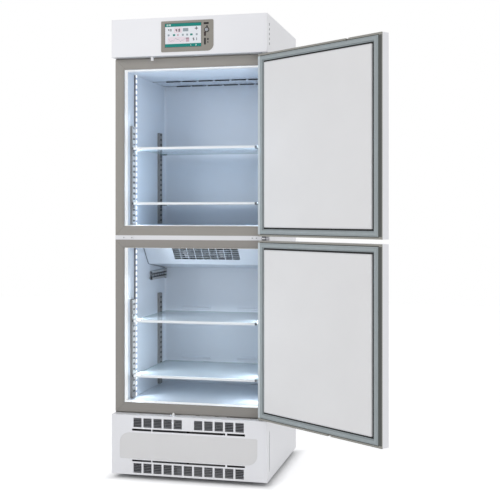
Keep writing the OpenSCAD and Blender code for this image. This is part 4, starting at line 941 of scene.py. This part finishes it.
def slot_shade_strip(side, low, tall, wide):
    """A pillowed strip over a slot, dark grey as painted shade for the slot: its height falls off as a
    fourth power to the edges.

    A point (a, b) of the square -1 to 1 goes to the strip's width, its length and
    height (1 - a^4)(1 - b^4).
    """
    proud, sunk = 0.0005, 0.0001
    a, b = np.meshgrid(np.linspace(-1, 1, 7), np.linspace(-1, 1, 15), indexing="ij")
    rise = proud * (1 - a ** 4) * (1 - b ** 4) - sunk
    points = np.stack([side * (SIDE + rise), SIDE_SLOT_Y + a * wide / 2, low + (b + 1) * tall / 2], axis=2)
    return points.reshape(-1, 3), grid_faces(7, 15)


for side, hand in ((-1, "left"), (1, "right")):
    # Dark grey strips stand in for the shade in the side slots: painted shade
    strips = [slot_shade_strip(side, z, SIDE_SLOT_TALL, SIDE_SLOT_WIDE) for z in HEAD_SLOTS]
    slot_shade_grey = rubber("slot_rubber_" + hand, tone(64, 66, 70))
    piece("head_slot_liners_" + hand, strips, slot_shade_grey, "cabinet")
    strip = slot_shade_strip(side, BASE_SLOT_LOW, BASE_SLOT_TALL, BASE_SLOT_WIDE)
    base_slot_shade_grey = rubber("base_rubber_" + hand, tone(118, 119, 122))
    piece("base_slot_liner_" + hand, [strip], base_slot_shade_grey, "cabinet")


def bead(path, radius, x):
    """A round bead along a line of (y, z) at one x, closed to a point at both ends.

    Point p with the normal n has the ring (x + r sin t, p + n r cos t).
    """
    ahead = np.gradient(path, axis=0)
    across = np.column_stack([-ahead[:, 1], ahead[:, 0]]) / np.linalg.norm(ahead, axis=1)[:, None]
    path, across = (np.pad(rows, ((1, 1), (0, 0)), mode="edge") for rows in (path, across))
    reach = np.full(len(path), radius)
    reach[[0, -1]] = 0.0
    turn = np.linspace(0, 2 * math.pi, 8, endpoint=False)
    yz = path[:, None, :] + (reach[:, None] * np.cos(turn))[:, :, None] * across[:, None, :]
    xs = x + reach[:, None] * np.sin(turn)
    return np.dstack([xs, yz]).reshape(-1, 3), grid_faces(len(path), len(turn), wrap_columns=True)


# A dark grey bead along each end of the housing, in its gap to the wall, is painted shade for that gap
corner = (housing_low.y + HOUSING_BACK, housing_high.z - HOUSING_DROP)
end = (housing_high.y - 0.004, corner[1] - HOUSING_FALL + 0.0005)
start = (housing_low.y + 0.002, housing_high.z - 0.003)
seal = [np.linspace(start, corner, 10)[:-1], np.linspace(corner, end, 16)]
shade_beads = [bead(np.concatenate(seal), 0.0016, side * (housing_high.x + 0.0003)) for side in (-1, 1)]
piece("housing_seals", shade_beads, rubber("seal_grey", tone(84, 90, 98)), "cabinet")

# Screws

zinc = brushed("screw_zinc", tone(176, 178, 182), (500.0,) * 3)
STRIP_Z = (MULLION[0].z + MULLION[1].z) / 2
PLATE_FACE = FRAME_FACE - 0.002
PLATE_SCREWS = (-SIDE + 0.039, -SIDE + 0.076, SIDE - 0.074, SIDE - 0.056)
front_screws = [screw_head((x, PLATE_FACE, STRIP_Z), -1, 0.0030, 0.0012) for x in PLATE_SCREWS]
piece("plate_screws", front_screws, zinc, "cabinet")

back_low, back_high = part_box("back_skin")
SCREW_SIDE, SCREW_END, SCREW_DEPTH = back_high.x - 0.007, 0.012, BACK - 0.0016
rows_z = np.linspace(back_low.z + SCREW_END, back_high.z - SCREW_END, 9)
rear_screws = [screw_head((side * SCREW_SIDE, SCREW_DEPTH, z), 1, 0.0032, 0.0015)
               for side in (-1, 1) for z in rows_z]
piece("rear_screws", rear_screws, zinc, "cabinet")


# Stage: floor, room and lamps

FLOOR_HALF, FLOOR_GLOW, ROOM_LIGHT = 8.0, 0.42, 0.62


def white_floor():
    """A white floor whose own glow fades out near the cabinet: a painted shadow round its foot, on top of
    the shade that falls there.
    """
    corners = [(-FLOOR_HALF, -FLOOR_HALF, 0.0), (FLOOR_HALF, -FLOOR_HALF, 0.0),
               (FLOOR_HALF, FLOOR_HALF, 0.0), (-FLOOR_HALF, FLOOR_HALF, 0.0)]
    mesh = bpy.data.meshes.new("floor")
    mesh.from_pydata(corners, [], [[0, 1, 2, 3]])
    floor = bpy.data.objects.new("floor", mesh)
    bpy.context.scene.collection.objects.link(floor)
    f = Finish("floor_white", Roughness=0.9, Specular_IOR_Level=0.1, Emission_Strength=FLOOR_GLOW)
    f.colour(f.mix(f.noise(2.0), tone(250, 250, 250), tone(253, 253, 253)))
    ray = f.tree.nodes.new("ShaderNodeLightPath")
    seen = Value(f, ray.outputs["Is Camera Ray"]).highest(Value(f, ray.outputs["Is Glossy Ray"]))
    x, y, _ = f.xyz()
    # Painted shadow: the glow is gone from two centimetres inside the cabinet's outline and full five
    # centimetres outside it
    clear = (abs(x) - SIDE).highest(abs(y) - BACK).ramp(-0.02, 0.05)
    f.glow(f.mix(seen * clear, UNLIT, (1.0, 1.0, 1.0, 1.0)))
    mesh.materials.append(f.material)


def white_room():
    """A plain world that lights the cabinet, and is white to the camera, to gloss and to glass."""
    world = bpy.data.worlds.new("studio")
    bpy.context.scene.world = world
    world.use_nodes = True
    tree = world.node_tree
    room = tree.nodes["Background"]
    room.inputs[0].default_value = (0.97, 0.98, 1.0, 1.0)
    room.inputs[1].default_value = ROOM_LIGHT
    white = tree.nodes.new("ShaderNodeBackground")
    white.inputs[0].default_value = (1.0, 1.0, 1.0, 1.0)
    white.inputs[1].default_value = 1.0
    path = tree.nodes.new("ShaderNodeLightPath")
    seen = path.outputs["Is Camera Ray"]
    for ray in ("Is Glossy Ray", "Is Transmission Ray"):
        most = tree.nodes.new("ShaderNodeMath")
        most.operation = "MAXIMUM"
        tree.links.new(seen, most.inputs[0])
        tree.links.new(path.outputs[ray], most.inputs[1])
        seen = most.outputs[0]
    mix = tree.nodes.new("ShaderNodeMixShader")
    tree.links.new(seen, mix.inputs[0])
    tree.links.new(room.outputs[0], mix.inputs[1])
    tree.links.new(white.outputs[0], mix.inputs[2])
    tree.links.new(mix.outputs[0], tree.nodes["World Output"].inputs["Surface"])


def softbox(name, place, target, size, power, colour=(1.0, 1.0, 1.0)):
    """A rectangular lamp at a place, facing its target."""
    lamp_data = bpy.data.lights.new(name, "AREA")
    lamp_data.shape = "RECTANGLE"
    lamp_data.size, lamp_data.size_y = size
    lamp_data.energy = power
    lamp_data.color = colour
    made = bpy.data.objects.new(name, lamp_data)
    bpy.context.scene.collection.objects.link(made)
    made.location = place
    away = np.array(place) - np.array(target)
    tilt = math.acos(away[2] / np.linalg.norm(away))
    made.rotation_euler = (tilt, 0.0, math.atan2(away[0], -away[1]))
    return made


white_floor()
white_room()
softbox("key_light", place=(-2.2, -4.0, 3.0), target=(0.0, -0.1, 1.0), size=(2.6, 2.6), power=51.0)
softbox("fill_light", place=(3.4, -3.0, 1.6), target=(0.1, 0.0, 1.0), size=(2.4, 2.4), power=26.0)

STRIP_POWER, STRIP_TURN, STRIP_WIDE, STRIP_AHEAD = 1.36, 0.33, 0.016, 0.018
UPPER_BLUE, LOWER_BLUE = (0.70, 0.84, 1.0), (0.84, 0.925, 1.0)


def strip_light(name, side, low, high, colour):
    """The light of one strip: a narrow lamp just over its lens, shining across the space."""
    place = (side * (led_high.x - STRIP_AHEAD), (led_low.y + led_high.y) / 2, (low + high) / 2)
    made = softbox(name, place, (0.0, 0.0, 1.0), (high - low, STRIP_WIDE), STRIP_POWER, colour)
    made.rotation_euler = (0.0, side * math.pi / 2, side * STRIP_TURN)
    made.visible_camera = False


for side, hand, below_top in ((-1, "left", 0.16), (1, "right", 0.26)):
    upper = (MULLION[1].z + 0.05, led_high.z - 0.17)
    lower = (led_low.z + 0.035, MULLION[0].z - below_top)
    strip_light("strip_light_upper_" + hand, side, *upper, UPPER_BLUE)
    strip_light("strip_light_lower_" + hand, side, *lower, LOWER_BLUE)

# Camera, fitted to the outline of the cabinet in the photograph

FOCAL_PX, HORIZON_PX, FRAME_PX = 984.97, 213.49, 500.0
EYE, YAW = (1.2171, FRONT - 3.9886, 1.1375), math.radians(13.3607)
camera_data = bpy.data.cameras.new("camera")
camera_data.sensor_width = 36.0
camera_data.lens = FOCAL_PX / FRAME_PX * camera_data.sensor_width
camera_data.shift_y = -(FRAME_PX / 2 - HORIZON_PX) / FRAME_PX
camera = bpy.data.objects.new("camera", camera_data)
bpy.context.scene.collection.objects.link(camera)
camera.location = EYE
camera.rotation_euler = (math.pi / 2, 0.0, YAW)
bpy.context.scene.camera = camera
bpy.context.scene.view_settings.view_transform = "Standard"
